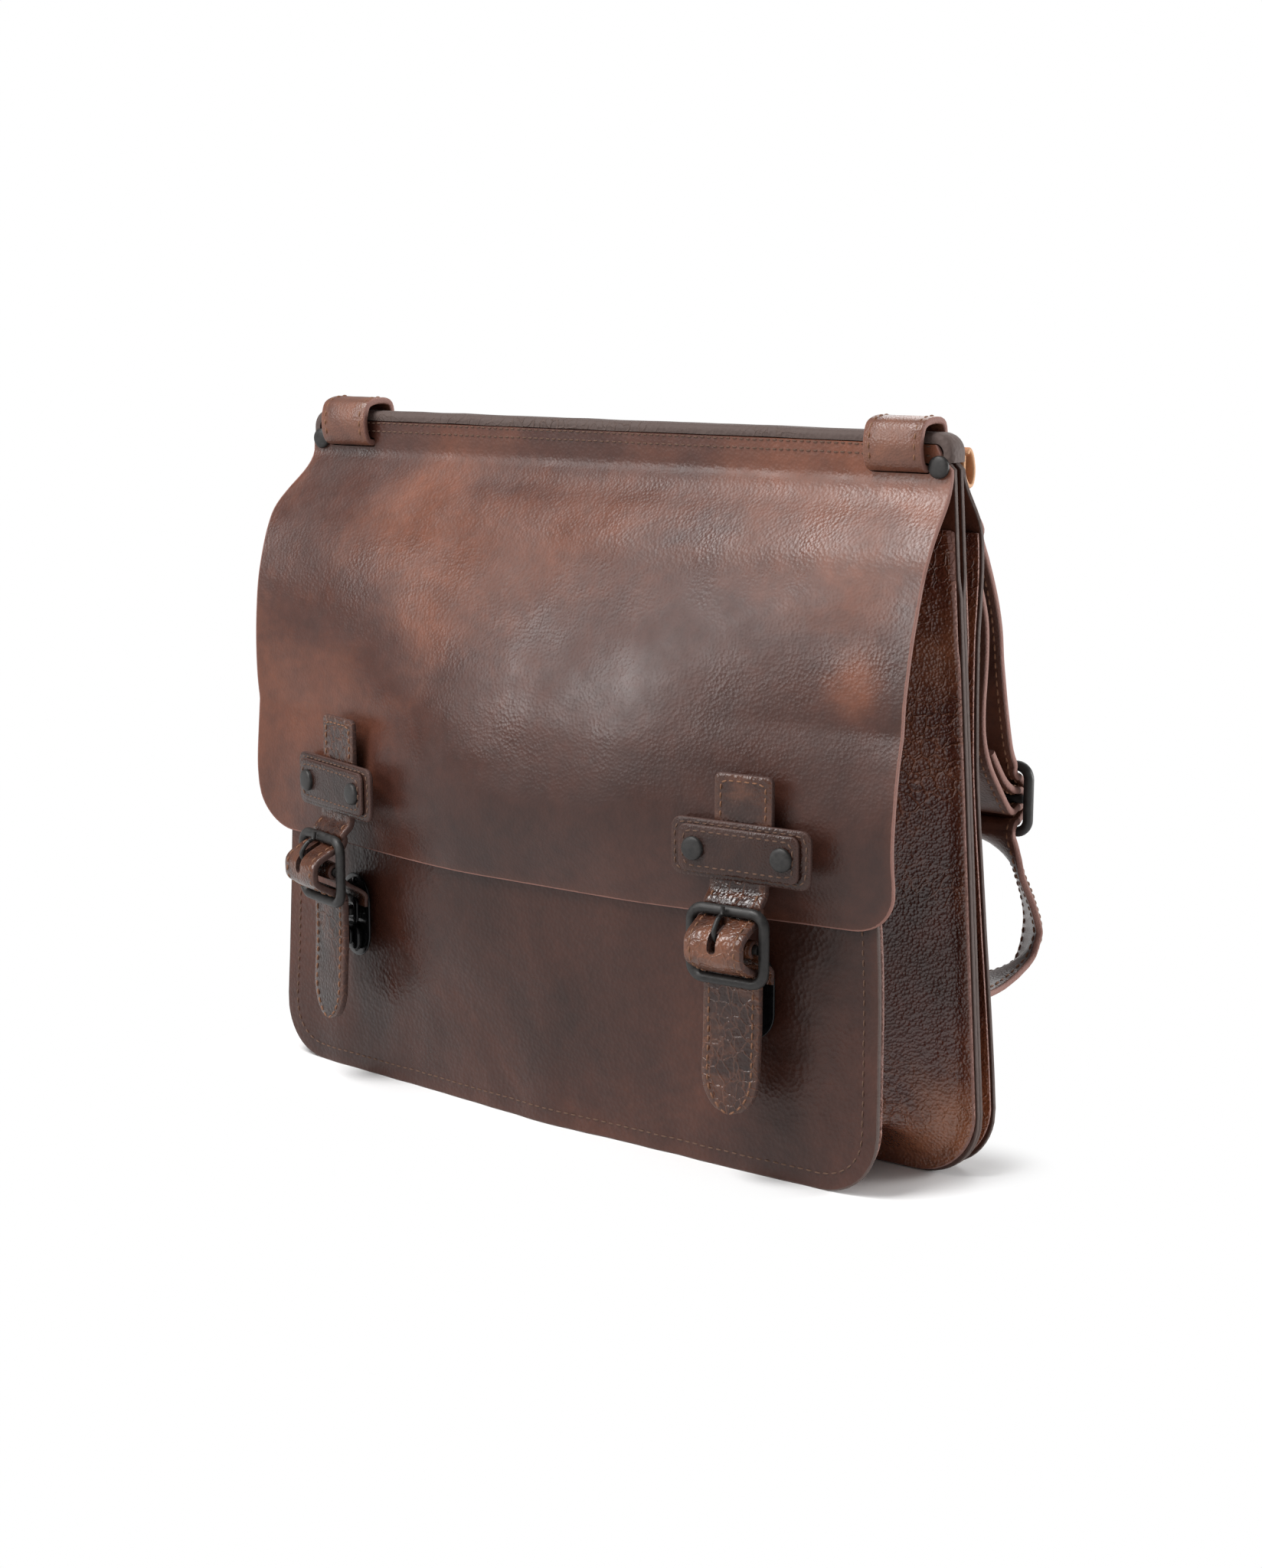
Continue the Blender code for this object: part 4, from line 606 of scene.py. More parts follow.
def cut_with(piece, outline, low, high, place):
    """Cuts a hole with the given outline through a finished mesh."""
    bm = bmesh.new()
    front = [bm.verts.new(place @ Vector((x, low, z)) * MM) for x, z in outline]
    back = [bm.verts.new(place @ Vector((x, high, z)) * MM) for x, z in outline]
    cap_rings(bm, [front, back])
    join_rings(bm, [front, back])
    bmesh.ops.recalc_face_normals(bm, faces=bm.faces)
    mesh = bpy.data.meshes.new("cutter")
    bm.to_mesh(mesh)
    bm.free()
    cutter = bpy.data.objects.new("cutter", mesh)
    bpy.context.scene.collection.objects.link(cutter)
    change = piece.modifiers.new("cut", "BOOLEAN")
    change.operation, change.solver, change.object = "DIFFERENCE", "EXACT", cutter
    bpy.context.view_layer.update()
    graph = bpy.context.evaluated_depsgraph_get()
    made = bpy.data.meshes.new_from_object(piece.evaluated_get(graph))
    piece.modifiers.clear()
    piece.data = made
    bpy.data.objects.remove(cutter)


# ---------------------------------------------------------------- materials

def leather(name, dark, mid, warm, rough, edge, grain=900.0, bump=0.5, wear=0.5, patches=9.0, gloss=0.5,
            tone_and_light_spots=(), cracks=0.0, relief=0.0006):
    """Grained leather, its cut edges in the 'edge' colour, lighter or darker round each spot: on some pieces
    the spots are painted light and painted shade, on others the leather's own tone.
    """
    made = bpy.data.materials.new(name)
    made.use_nodes = True
    nodes, links = made.node_tree.nodes, made.node_tree.links
    shader = nodes["Principled BSDF"]
    coords = nodes.new("ShaderNodeTexCoord")

    def noise_node(scale, detail, roughness=0.55, distortion=0.0):
        node = nodes.new("ShaderNodeTexNoise")
        node.inputs["Scale"].default_value = scale
        node.inputs["Detail"].default_value = detail
        node.inputs["Roughness"].default_value = roughness
        node.inputs["Distortion"].default_value = distortion
        links.new(coords.outputs["Object"], node.inputs["Vector"])
        return node

    def ramp(source, stops):
        node = nodes.new("ShaderNodeValToRGB")
        while len(node.color_ramp.elements) < len(stops):
            node.color_ramp.elements.new(0.5)
        for element, (place, colour) in zip(node.color_ramp.elements, stops):
            element.position = place
            element.color = (*colour, 1.0) if len(colour) == 3 else colour
        links.new(source, node.inputs["Fac"])
        return node.outputs["Color"]

    def mix(factor, a, b, mode="MIX"):
        node = nodes.new("ShaderNodeMix")
        node.data_type, node.blend_type = "RGBA", mode
        for socket, value in (("Factor", factor), ("A", a), ("B", b)):
            target = next(s for s in node.inputs if s.name == socket and s.enabled)
            if isinstance(value, (float, tuple)):
                target.default_value = value if isinstance(value, float) else (*value, 1.0)
            else:
                links.new(value, target)
        return next(s for s in node.outputs if s.enabled)

    def maths(operation, a, b):
        node = nodes.new("ShaderNodeMath")
        node.operation = operation
        for socket, value in zip(node.inputs, (a, b)):
            if isinstance(value, float):
                socket.default_value = value
            else:
                links.new(value, socket)
        return node.outputs[0]

    large = noise_node(patches, 5.0, 0.6, 0.6)
    fine = noise_node(170.0, 4.0, 0.6)
    tone = large.outputs["Fac"]
    parts, flat = nodes.new("ShaderNodeSeparateXYZ"), nodes.new("ShaderNodeCombineXYZ")
    links.new(coords.outputs["Object"], parts.inputs[0])
    links.new(parts.outputs["X"], flat.inputs["X"])
    links.new(parts.outputs["Z"], flat.inputs["Z"])
    for x, z, radius, gain in tone_and_light_spots:  # a positive gain is warmer and lighter, a negative one darker: painted highlights and painted shade on some pieces, the leather's own tone on others
        near = nodes.new("ShaderNodeVectorMath")
        near.operation = "DISTANCE"
        near.inputs[1].default_value = (x * MM, 0, z * MM)
        links.new(flat.outputs[0], near.inputs[0])
        span = nodes.new("ShaderNodeMapRange")
        span.interpolation_type = "SMOOTHSTEP"
        for socket, value in (("From Max", radius * MM), ("To Min", gain), ("To Max", 0.0)):
            span.inputs[socket].default_value = value
        links.new(near.outputs["Value"], span.inputs["Value"])
        tone = maths("ADD", tone, span.outputs["Result"])
    body = ramp(tone, [(0.28, dark), (0.5, mid), (0.76, warm)])
    speckle = ramp(fine.outputs["Fac"], [(0.3, (0.72, 0.72, 0.72)), (0.7, (1.18, 1.12, 1.08))])
    colour = mix(0.6, body, speckle, "MULTIPLY")
    far = nodes.new("ShaderNodeAttribute")
    far.attribute_name = "edge"
    distance = maths("ADD", far.outputs["Fac"], maths("MULTIPLY", fine.outputs["Fac"], -0.8))
    near = ramp(maths("MULTIPLY", distance, 0.12), [(0.0, (wear,) * 3), (0.55, (0.0,) * 3)])
    colour = mix(near, colour, warm)
    wall = ramp(distance, [(0.0, (1.0,) * 3), (0.25, (0.0,) * 3)])
    colour = mix(wall, colour, edge)
    links.new(colour, shader.inputs["Base Color"])
    rough_noise = noise_node(35.0, 3.0)
    sheen = ramp(rough_noise.outputs["Fac"], [(0.3, (rough - 0.09,) * 3), (0.7, (rough + 0.12,) * 3)])
    links.new(mix(wall, sheen, (0.75, 0.75, 0.75)), shader.inputs["Roughness"])
    shader.inputs["Specular IOR Level"].default_value = gloss
    cells = nodes.new("ShaderNodeTexVoronoi")
    cells.inputs["Scale"].default_value = grain
    links.new(coords.outputs["Object"], cells.inputs["Vector"])
    crease = noise_node(42.0, 7.0, 0.62, 0.3)
    height = maths("ADD", maths("MULTIPLY", cells.outputs["Distance"], 0.5),
                   maths("MULTIPLY", crease.outputs["Fac"], 1.3))
    if cracks:
        swirl = noise_node(30.0, 4.0, 0.6)
        bent = nodes.new("ShaderNodeVectorMath")
        bent.operation = "MULTIPLY_ADD"
        bent.inputs[1].default_value = (0.02, 0.02, 0.02)
        links.new(swirl.outputs["Color"], bent.inputs[0])
        links.new(coords.outputs["Object"], bent.inputs[2])
        lines = nodes.new("ShaderNodeTexVoronoi")
        lines.feature = "DISTANCE_TO_EDGE"
        lines.inputs["Scale"].default_value = 170.0
        links.new(bent.outputs[0], lines.inputs["Vector"])
        veins = maths("MULTIPLY", ramp(lines.outputs["Distance"], [(0.0, (1.0,) * 3), (0.09, (0.0,) * 3)]),
                      ramp(noise_node(14.0, 2.0).outputs["Fac"], [(0.45, (0.0,) * 3), (0.62, (cracks,) * 3)]))
        links.new(mix(veins, colour, tuple(1.5 * c for c in warm)), shader.inputs["Base Color"])
        height = maths("ADD", height, maths("MULTIPLY", veins, 1.5))
    bump_node = nodes.new("ShaderNodeBump")
    bump_node.inputs["Strength"].default_value = bump
    bump_node.inputs["Distance"].default_value = relief
    links.new(height, bump_node.inputs["Height"])
    links.new(bump_node.outputs["Normal"], shader.inputs["Normal"])
    return made


def metal(name, colour, rough, metallic, scratches=0.25):
    """Painted metal with a fine grit in its colour, gloss and surface."""
    made = bpy.data.materials.new(name)
    made.use_nodes = True
    nodes, links = made.node_tree.nodes, made.node_tree.links
    shader = nodes["Principled BSDF"]
    shader.inputs["Metallic"].default_value = metallic
    coords = nodes.new("ShaderNodeTexCoord")
    grit = nodes.new("ShaderNodeTexNoise")
    grit.inputs["Scale"].default_value = 420.0
    grit.inputs["Detail"].default_value = 5.0
    links.new(coords.outputs["Object"], grit.inputs["Vector"])
    shades = [tuple(c * share for c in colour) for share in (0.75, 1.3)]
    for target, stops in (("Base Color", shades),
                          ("Roughness", ((rough - 0.08,) * 3, (rough + 0.12,) * 3))):
        node = nodes.new("ShaderNodeValToRGB")
        for element, stop, place in zip(node.color_ramp.elements, stops, (0.35, 0.7)):
            element.color, element.position = (*stop, 1.0), place
        links.new(grit.outputs["Fac"], node.inputs["Fac"])
        links.new(node.outputs["Color"], shader.inputs[target])
    bump = nodes.new("ShaderNodeBump")
    bump.inputs["Strength"].default_value = scratches
    bump.inputs["Distance"].default_value = 0.0002
    links.new(grit.outputs["Fac"], bump.inputs["Height"])
    links.new(bump.outputs["Normal"], shader.inputs["Normal"])
    return made


PINK_EDGE, GREY_EDGE, DARK_EDGE = (0.20, 0.095, 0.075), (0.075, 0.050, 0.043), (0.060, 0.027, 0.021)
# Flap spots: the broad lighter ones across the top are painted light, and the darker ones over the lower
# middle and along the right edge are painted shade. The two small lighter spots on the right and the dark
# streak at the left are marks in the leather. The patch at the left edge is lighter.
FLAP = leather(
    "flap_leather_look", (0.032, 0.0115, 0.0080), (0.062, 0.0215, 0.0140), (0.160, 0.054, 0.028), 0.36,
    PINK_EDGE, grain=650.0, bump=0.34, wear=0.12, patches=8.0, gloss=0.42, tone_and_light_spots=(
        (166, 223, 26, 0.30), (-170, 180, 60, 0.14), (-88, 285, 95, 0.09), (144, 315, 95, 0.14),
        (180, 308, 22, 0.24), (10, 305, 90, 0.07), (-112, 240, 45, -0.08), (72, 178, 95, -0.12),
        (-10, 125, 80, -0.12), (195, 225, 34, -0.16), (160, 165, 60, -0.12)))
PANEL = leather(
    "panel_leather_look", (0.020, 0.0070, 0.0046), (0.046, 0.0152, 0.0096), (0.095, 0.031, 0.017), 0.34,
    GREY_EDGE, grain=480.0, bump=0.6, wear=0.2, patches=9.0, gloss=0.4, tone_and_light_spots=(
        (-150, 60, 60, 0.16), (190, 50, 120, -0.2), (40, 60, 80, -0.04)))
# The gusset spot at its bottom corner (200, 14) paints a highlight there. The other two make it a little
# darker at mid height and a little lighter near the top.
GUSSET = leather(
    "gusset_leather_look", (0.026, 0.0068, 0.0044), (0.074, 0.0185, 0.0112), (0.240, 0.088, 0.042), 0.18,
    PINK_EDGE, grain=700.0, bump=1.0, wear=0.2, patches=12.0, gloss=0.7, cracks=0.35, relief=0.0010,
    tone_and_light_spots=((200, 14, 50, 0.24), (200, 95, 45, -0.05), (190, 290, 60, 0.08)))
CROSS = leather(
    "crosspiece_leather_look", (0.011, 0.0044, 0.0032), (0.024, 0.0088, 0.0060), (0.060, 0.022, 0.013),
    0.32, DARK_EDGE, bump=0.6, wear=0.35, patches=22.0, gloss=0.42)
# The two strap spots at height 110 paint a highlight on each strap's roll round its buckle. The others make
# the strap a little lighter above the crosspiece and a little darker at the tails.
STRAP = leather(
    "strap_leather_look", (0.013, 0.0050, 0.0034), (0.032, 0.0112, 0.0072), (0.150, 0.056, 0.028), 0.28,
    DARK_EDGE, grain=600.0, bump=0.8, wear=0.3, patches=26.0, cracks=0.3, tone_and_light_spots=(
        (-130, 110, 24, 0.20), (120, 110, 24, 0.20), (-118, 178, 16, 0.06), (120, 178, 16, 0.06),
        (-140, 55, 45, -0.06), (122, 55, 45, -0.06)))
LOOP = leather(
    "loop_leather_look", (0.065, 0.025, 0.017), (0.125, 0.050, 0.032), (0.200, 0.080, 0.045), 0.36,
    PINK_EDGE, wear=0.3, patches=22.0)
REAR_STRAP = leather(
    "rear_strap_leather_look", (0.032, 0.0125, 0.0088), (0.062, 0.0235, 0.0155), (0.125, 0.045, 0.025),
    0.36, PINK_EDGE, wear=0.3, patches=22.0)
WELT = leather(
    "welt_leather_look", (0.011, 0.0070, 0.0056), (0.022, 0.0135, 0.0105), (0.060, 0.035, 0.026), 0.45,
    GREY_EDGE, grain=500.0, bump=0.9, wear=0.3, patches=40.0, gloss=0.45, cracks=0.5)
TAN = leather(
    "tan_leather_look", (0.36, 0.135, 0.050), (0.46, 0.185, 0.075), (0.55, 0.25, 0.11), 0.5,
    (0.50, 0.27, 0.14), bump=0.3)
BOARD = leather(
    "spine_board_look", (0.07, 0.058, 0.048), (0.10, 0.085, 0.07), (0.13, 0.11, 0.09), 0.85,
    (0.1, 0.085, 0.07))
THREAD = leather(
    "thread_look", (0.10, 0.042, 0.018), (0.19, 0.080, 0.034), (0.28, 0.125, 0.055), 0.7,
    (0.18, 0.08, 0.04), grain=2500.0, bump=0.3, wear=0.0, patches=60.0)
DARK_THREAD = leather(
    "dark_thread_look", (0.05, 0.022, 0.012), (0.085, 0.036, 0.02), (0.13, 0.055, 0.028), 0.65,
    (0.1, 0.05, 0.03), grain=2500.0, bump=0.3, wear=0.0, patches=60.0)
METAL = metal("dark_metal_look", (0.032, 0.030, 0.029), 0.5, 0.45)
LOCK = metal("lock_metal_look", (0.012, 0.012, 0.013), 0.16, 0.6, 0.05)


# ---------------------------------------------------------------- body of the bag

def full_edges(z):
    half = rounded_half(half_width, z, CORNER)
    return -half, half


def inner_edges(z):
    left, right = full_edges(z)
    inset = 4.8 * ease((z - 315.0) / 4.0)
    if z > 320.7:
        inset += 2.5 * (z - 320.7) / 4.5
    return left + inset, right - inset


def panel_edges(z):
    half = rounded_half(panel_half, z, CORNER)
    return PANEL_SHIFT - half, PANEL_SHIFT + half


def flap_edges(z):
    found = []
    for left in (True, False):
        half = rounded_half(lambda h: flap_half(h + FLAP_BOTTOM, left), z - FLAP_BOTTOM, FLAP_CORNER)
        inset = lerp(0.0, half - inner_edges(z)[1], ease((z - 309.0) / 6.0))
        found.append(half - inset)
    return -found[0], found[1]


def slope_of(face, x, z):
    """How much deeper than its thickness a leaning sheet is, measured along Y."""
    return math.sqrt(1.0 + ((face(x, z + 1.0) - face(x, z - 1.0)) / 2.0) ** 2)


def flap_back(x, z):
    return flap_face(x, z) + FLAP_T * slope_of(flap_face, x, z)


def panel_back(x, z):
    return panel_face(x, z) + PANEL_T * slope_of(panel_face, x, z)


def back_inner(x, z):
    return back_face(x, z) - PANEL_T * slope_of(back_face, x, z)


def slot_outline(side):
    return rounded_rectangle(31.1, 4.7, 1.5, (side * SLOT_X, SLOT_Z), 3)


def build_body():
    top = HEIGHT - WELT_HEIGHT - GAP
    flap = sheet_piece("flap_skin", heights_between(FLAP_BOTTOM, top, FLAP_CORNER), flap_edges, flap_face,
                       flap_back, FLAP, None, ("flap", "flap_hinge_strip"))
    heights = heights_between(0.0, top, CORNER)
    front = sheet_piece("divider_front_skin", heights, inner_edges, lambda x, z: -leaf_face(z),
                        lambda x, z: LEAF_T - leaf_face(z), PANEL, "bag", ("divider_front_leaf",))
    rear = sheet_piece("divider_rear_skin", heights, inner_edges, lambda x, z: leaf_face(z),
                       lambda x, z: leaf_face(z) - LEAF_T, PANEL, "bag", ("divider_rear_leaf",))
    back = sheet_piece("back_panel_skin", heights, inner_edges, back_face, back_inner, PANEL, "bag",
                       ("back_panel",))
    sheet_piece("front_panel_skin", heights_between(0.0, PANEL_TOP, CORNER), panel_edges, panel_face,
                panel_back, PANEL, "bag", ("front_panel",))
    for piece in (flap, front, rear, back):
        for side in (-1, 1):
            cut_with(piece, slot_outline(side), -25.0, 25.0, Matrix.Identity(4))
    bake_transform(flap, "bag", "flap", start=(0, -0.009, 0.306), end=(0, -0.016, 0.292))
    line = outline_of(panel_edges, heights_between(0.0, PANEL_TOP, CORNER))
    face_stitches("front_panel_stitches", inset_line(line, 7.5), panel_face, -1, "bag")
    line = outline_of(full_edges, heights_between(0.0, 284.0, CORNER))
    face_stitches("back_panel_stitches", inset_line(line, 7.0), back_face, 1, "bag")
    for height in (320.2, 324.2):
        row = [(x, height) for x in np.linspace(-176, 176, 90)]
        face_stitches(f"bar_front_stitches_{int(height)}", row, flap_face, -1, "bag", 0.38, 3.6)
        face_stitches(f"bar_back_stitches_{int(height)}", row, back_face, 1, "bag", 0.38, 3.6)


def build_welt():
    half, low, radius = half_width(HEIGHT) + 1.5, 317.5, 9.0
    line = [(-half, low), (-half, low + 1.2)] + arc((-half + radius, HEIGHT - radius), radius, 180, 90, 10)
    line += [(x, HEIGHT) for x in np.linspace(-half + radius + 8, half - radius - 8, 50)]
    line += arc((half - radius, HEIGHT - radius), radius, 90, 0, 10) + [(half, low + 1.2), (half, low)]
    inward = []
    for k, (x, z) in enumerate(line):
        a, b = line[max(k - 1, 0)], line[min(k + 1, len(line) - 1)]
        d = Vector((b[0] - a[0], b[1] - a[1])).normalized()
        inward.append(Vector((d.y, -d.x)))
    section = [(4.6, -BAR_FACE), (3.0, -BAR_FACE - 0.25), (1.6, -BAR_FACE), (0.5, -BAR_FACE * 0.82),
               (0.0, -BAR_FACE * 0.5), (-0.1, 0.0), (0.0, BAR_FACE * 0.5), (0.5, BAR_FACE * 0.82),
               (1.6, BAR_FACE), (3.0, BAR_FACE + 0.25), (4.6, BAR_FACE)]
    bm = new_bm()
    rings = []
    for (x, z), n in zip(line, inward):
        push = 0.25 * noise.noise(Vector((x / 17.0, z / 17.0, 2.0)))
        rings.append([bm.verts.new(Vector((x + n.x * (d + push), y, z + n.y * (d + push))))
                      for d, y in section])
    join_rings(bm, rings)
    cap_rings(bm, rings)
    new_piece("top_welt_skin", bm, WELT, "bag", ("top_welt",))


def build_gusset(name, top, thickness, width, near_side, far_side, near_face, far_face, node, flange=8.5):
    """Folded strip round three sides, with a flange sewn to the panel on each side of it."""
    steps = 60
    stations = [(lerp(top, CORNER, k / steps), None) for k in range(steps)]
    stations += [(None, a) for a in np.linspace(0, 90, 15)]
    bottom = 70

    def point(side, station, sign):
        """Point of a panel's outline, and the direction inwards from it."""
        half_at, shift = side
        z, angle = station
        if angle is None:
            return Vector((shift + sign * half_at(z), 0, z)), Vector((-sign, 0, 0))
        turn = math.radians(angle)
        centre = Vector((shift + sign * (half_at(CORNER) - CORNER), 0, CORNER))
        out = Vector((sign * math.cos(turn), 0, -math.sin(turn)))
        return centre + out * CORNER, -out

    def low_point(side, share):
        half_at, shift = side
        reach = half_at(CORNER) - CORNER
        return Vector((shift + lerp(reach, -reach, share), 0, 0)), Vector((0, 0, 1))

    course = [(point(near_side, s, 1), point(far_side, s, 1)) for s in stations]
    course += [(low_point(near_side, k / bottom), low_point(far_side, k / bottom))
               for k in range(1, bottom)]
    course += [(point(near_side, s, -1), point(far_side, s, -1)) for s in reversed(stations)]
    outer_rows, inner_rows, margins = [], [], []
    for index, ((near, near_in), (far, far_in)) in enumerate(course):
        def place_at(inset, share):
            return near.lerp(far, share) + near_in.lerp(far_in, share).normalized() * inset

        start, finish = place_at(flange, 0.0), place_at(flange, 1.0)
        depth = abs(far_face(finish.x, finish.z) - near_face(start.x, start.z)) - thickness
        fold = math.sqrt(max((width / 2) ** 2 - (depth / 2) ** 2, 9.0))
        profile = [(0.8, 0.0), (2.5, 0.0), (5.0, 0.0), (flange - 1.0, 0.0), (flange + 0.5, depth * 0.02)]
        for t in np.linspace(0.06, 0.94, 17):
            crown = math.sin(math.pi * t)
            wave = crown * (noise.noise(Vector((index / 5.5, t * 5.0, width)))
                            + 0.4 * noise.noise(Vector((index / 1.8, t * 11.0, width + 3.0))))
            profile.append((flange + fold * crown ** 0.9 + wave * min(1.0, width / 40.0), depth * t))
        profile += [(flange + 0.5, depth * 0.98), (flange - 1.0, depth), (5.0, depth), (2.5, depth),
                    (0.8, depth)]
        tangents = [Vector((b[0] - a[0], b[1] - a[1])).normalized() for a, b in
                    zip([profile[0], *profile[:-1]], [*profile[1:], profile[-1]])]
        for rows, side in ((outer_rows, 0.5), (inner_rows, -0.5)):
            row = []
            for (inset, deep), d in zip(profile, tangents):
                inset, deep = inset - d.y * side * thickness, deep + d.x * side * thickness
                share = clamp((deep + thickness / 2) / (depth + thickness))
                p = place_at(inset, share)
                y_near = near_face(p.x, p.z) + thickness / 2
                y_far = far_face(p.x, p.z) - thickness / 2
                if deep <= 0:
                    y = y_near + deep
                elif deep >= depth:
                    y = y_far + deep - depth
                else:
                    y = lerp(y_near, y_far, deep / depth)
                row.append(Vector((p.x, y, p.z)))
            rows.append(row)
        margins.append([9.0 if 3 < k < len(profile) - 4 else 0.4 + 2.2 * min(k, len(profile) - 1 - k)
                        for k in range(len(profile))])
    bm = new_bm()
    grid_solid(bm, outer_rows, inner_rows, margins)
    new_piece(name, bm, GUSSET, "bag", (node,))


def build_gussets():
    build_gusset("front_gusset_skin", 288.0, 1.5, 56.0, (panel_half, PANEL_SHIFT), (half_width, 0.0),
                 lambda x, z: panel_back(x, z) + 0.7, lambda x, z: -leaf_face(z + 30.0) - GAP,
                 "front_gusset")
    build_gusset("rear_gusset_skin", 286.0, 1.1, 19.0, (half_width, 0.0), (half_width, 0.0),
                 lambda x, z: leaf_face(z + 30.0) + GAP, lambda x, z: back_inner(x, z) - 1.0,
                 "rear_gusset")


# ---------------------------------------------------------------- closures and locks

def closure_frame(name):
    """Place of a closure: on the flap at the centre of its crosspiece, clear of the flap's bulge."""
    x, yaw = CLOSURES[name]
    turn = Matrix.Rotation(math.radians(yaw), 4, "Z")
    depth = flap_depth(x / flap_half(CLOSURE_Z, x < 0), CLOSURE_Z)
    start = Matrix.Translation((x, -depth, CLOSURE_Z)) @ turn
    stand = 0.0
    for across in (-1.0, -0.5, 0.0, 0.5, 1.0):
        for up in (-1.0, -0.5, 0.0, 0.5, 1.0):
            local = Vector((across * 35.5, 0, up * 34.0))
            if abs(local.z) > 13.0 and abs(across) > 0.5:
                continue
            p = start @ local
            surface = Vector((p.x, -flap_depth(p.x / flap_half(p.z, p.x < 0), p.z), p.z))
            stand = max(stand, -(start.inverted() @ surface).y)
    return start @ Matrix.Translation((0, -stand - GAP, 0))


def lock_place(start):
    """Place of a lock's plate: under its closure, clear of the front panel's bulge."""
    place = start @ Matrix.Translation((-4.0, 0, -67.0))
    nearest = -1e9
    for across in (-1.0, -0.5, 0.0, 0.5, 1.0):
        for up in (-1.0, -0.5, 0.0, 0.5, 1.0):
            if abs(across) == 1.0 and abs(up) == 1.0:
                continue
            p = place @ Vector((across * 13.5, 0, up * 21.0))
            nearest = max(nearest, -(place.inverted() @ Vector((p.x, -panel_depth(p.x, p.z), p.z))).y)
    return place @ Matrix.Translation((0, -nearest - GAP, 0))


def closure_path():
    """Closure strap from the crosspiece, behind both ends of its buckle and over the bar, to its tail."""
    top_bar, low_bar = -40.0 + BAR_RISE, -40.0 - BAR_RISE
    behind, bulge = PLANE + WRAP, PLANE - 11.5
    points = [(-HALF_T, -13.0), (-2.65, -18.0)]
    points += arc((PLANE, top_bar), WRAP, 25, -100, 5)
    points += [(bulge + 1.6, -34.5), (bulge, -40.0), (bulge + 1.6, -45.5)]
    points += arc((PLANE, low_bar), WRAP, 100, -15, 5)
    return points + [(behind - 0.6, -80.0), (behind - 1.6, -100.0), (behind - 2.2, -117.0)]


def prong_path():
    return [(-3.6, 0.5), (-6.5, 2.6), (-10.2, 5.6), (-11.0, 9.0), (-8.0, 13.2), (-4.6, 15.1), (-3.8, 18.2)]


def build_buckle(side, body, prefix, names, place):
    outline = rounded_rectangle(BUCKLE_W - 2 * WIRE, BUCKLE_H - 2 * WIRE, 8.5 - WIRE)
    tube_piece(f"{prefix}frame_skin_{side}", [(x, 0, z) for x, z in outline], WIRE, place, METAL, body,
               (names[0],), True)
    reach = BUCKLE_W / 2 - 2 * WIRE - GAP
    tube_piece(f"{prefix}bar_skin_{side}", [(x, 0, 0) for x in np.linspace(-reach, reach, 8)], 2.0, place,
               METAL, body, (names[1],))


def flat_stitches(name, line, depth, start, material):
    """Stitches along an (x, z) line on a flat piece of a closure."""
    bm = bmesh.new()
    points = [start @ Vector((x, depth, z)) for x, z in line]
    out = start.to_3x3() @ Vector((0, -1, 0))
    stitch_line(bm, points, [out] * len(points), 4.0, 2.8, 0.42)
    new_piece(name, bm, material, "flap", None)


def build_crosspiece(side, start):
    for name, low, high, width, height, radius, inset in (
        ("crosspiece_base", -5.1, -2.9, 71.0, 26.0, 5.0, 4.2),
        ("crosspiece_bridge", -7.3, -5.4, 61.0, 21.0, 4.0, 5.4),
    ):
        slab_piece(f"{name}_skin_{side}", rounded_rectangle(width, height, radius), low, high, start, CROSS,
                   "flap", (f"{name}_{side}",))
        line = rounded_rectangle(width - inset, height - inset, radius - inset / 4)
        flat_stitches(f"{name}_stitches_{side}", line + line[:1], low - 0.2, start, DARK_THREAD)
    top, corner = 34.0, 3.0
    tab = [(-HALF_W, -12.7), (HALF_W, -12.7)] + arc((HALF_W - corner, top - corner), corner, 0, 90, 5)
    tab += arc((corner - HALF_W, top - corner), corner, 90, 180, 5)
    slab_piece(f"closure_tab_skin_{side}", tab, -2.6, 0.0, start, STRAP, "flap",
               (f"closure_tab_{side}",), dome=0.1)
    line = ((-11.4, 14.0), (-11.4, 29.5), (-10.0, 30.8), (10.0, 30.8), (11.4, 29.5), (11.4, 14.0))
    flat_stitches(f"closure_tab_stitches_{side}", line, -2.8, start, THREAD)
    for number, across in ((1, -22.5), (2, 22.5)):
        place = start @ Matrix.Translation((across, 0, 0))
        turned_piece(f"rivet_skin_{side}_{number}", [
            (0, -9.75), (3.0, -9.7), (4.5, -9.5), (5.05, -9.2), (5.3, -8.7), (5.3, -7.6), (1.4, -7.6),
            (1.4, 1.2), (0, 1.2)], place, METAL, "flap", (f"crosspiece_rivet_{side}_{number}",))


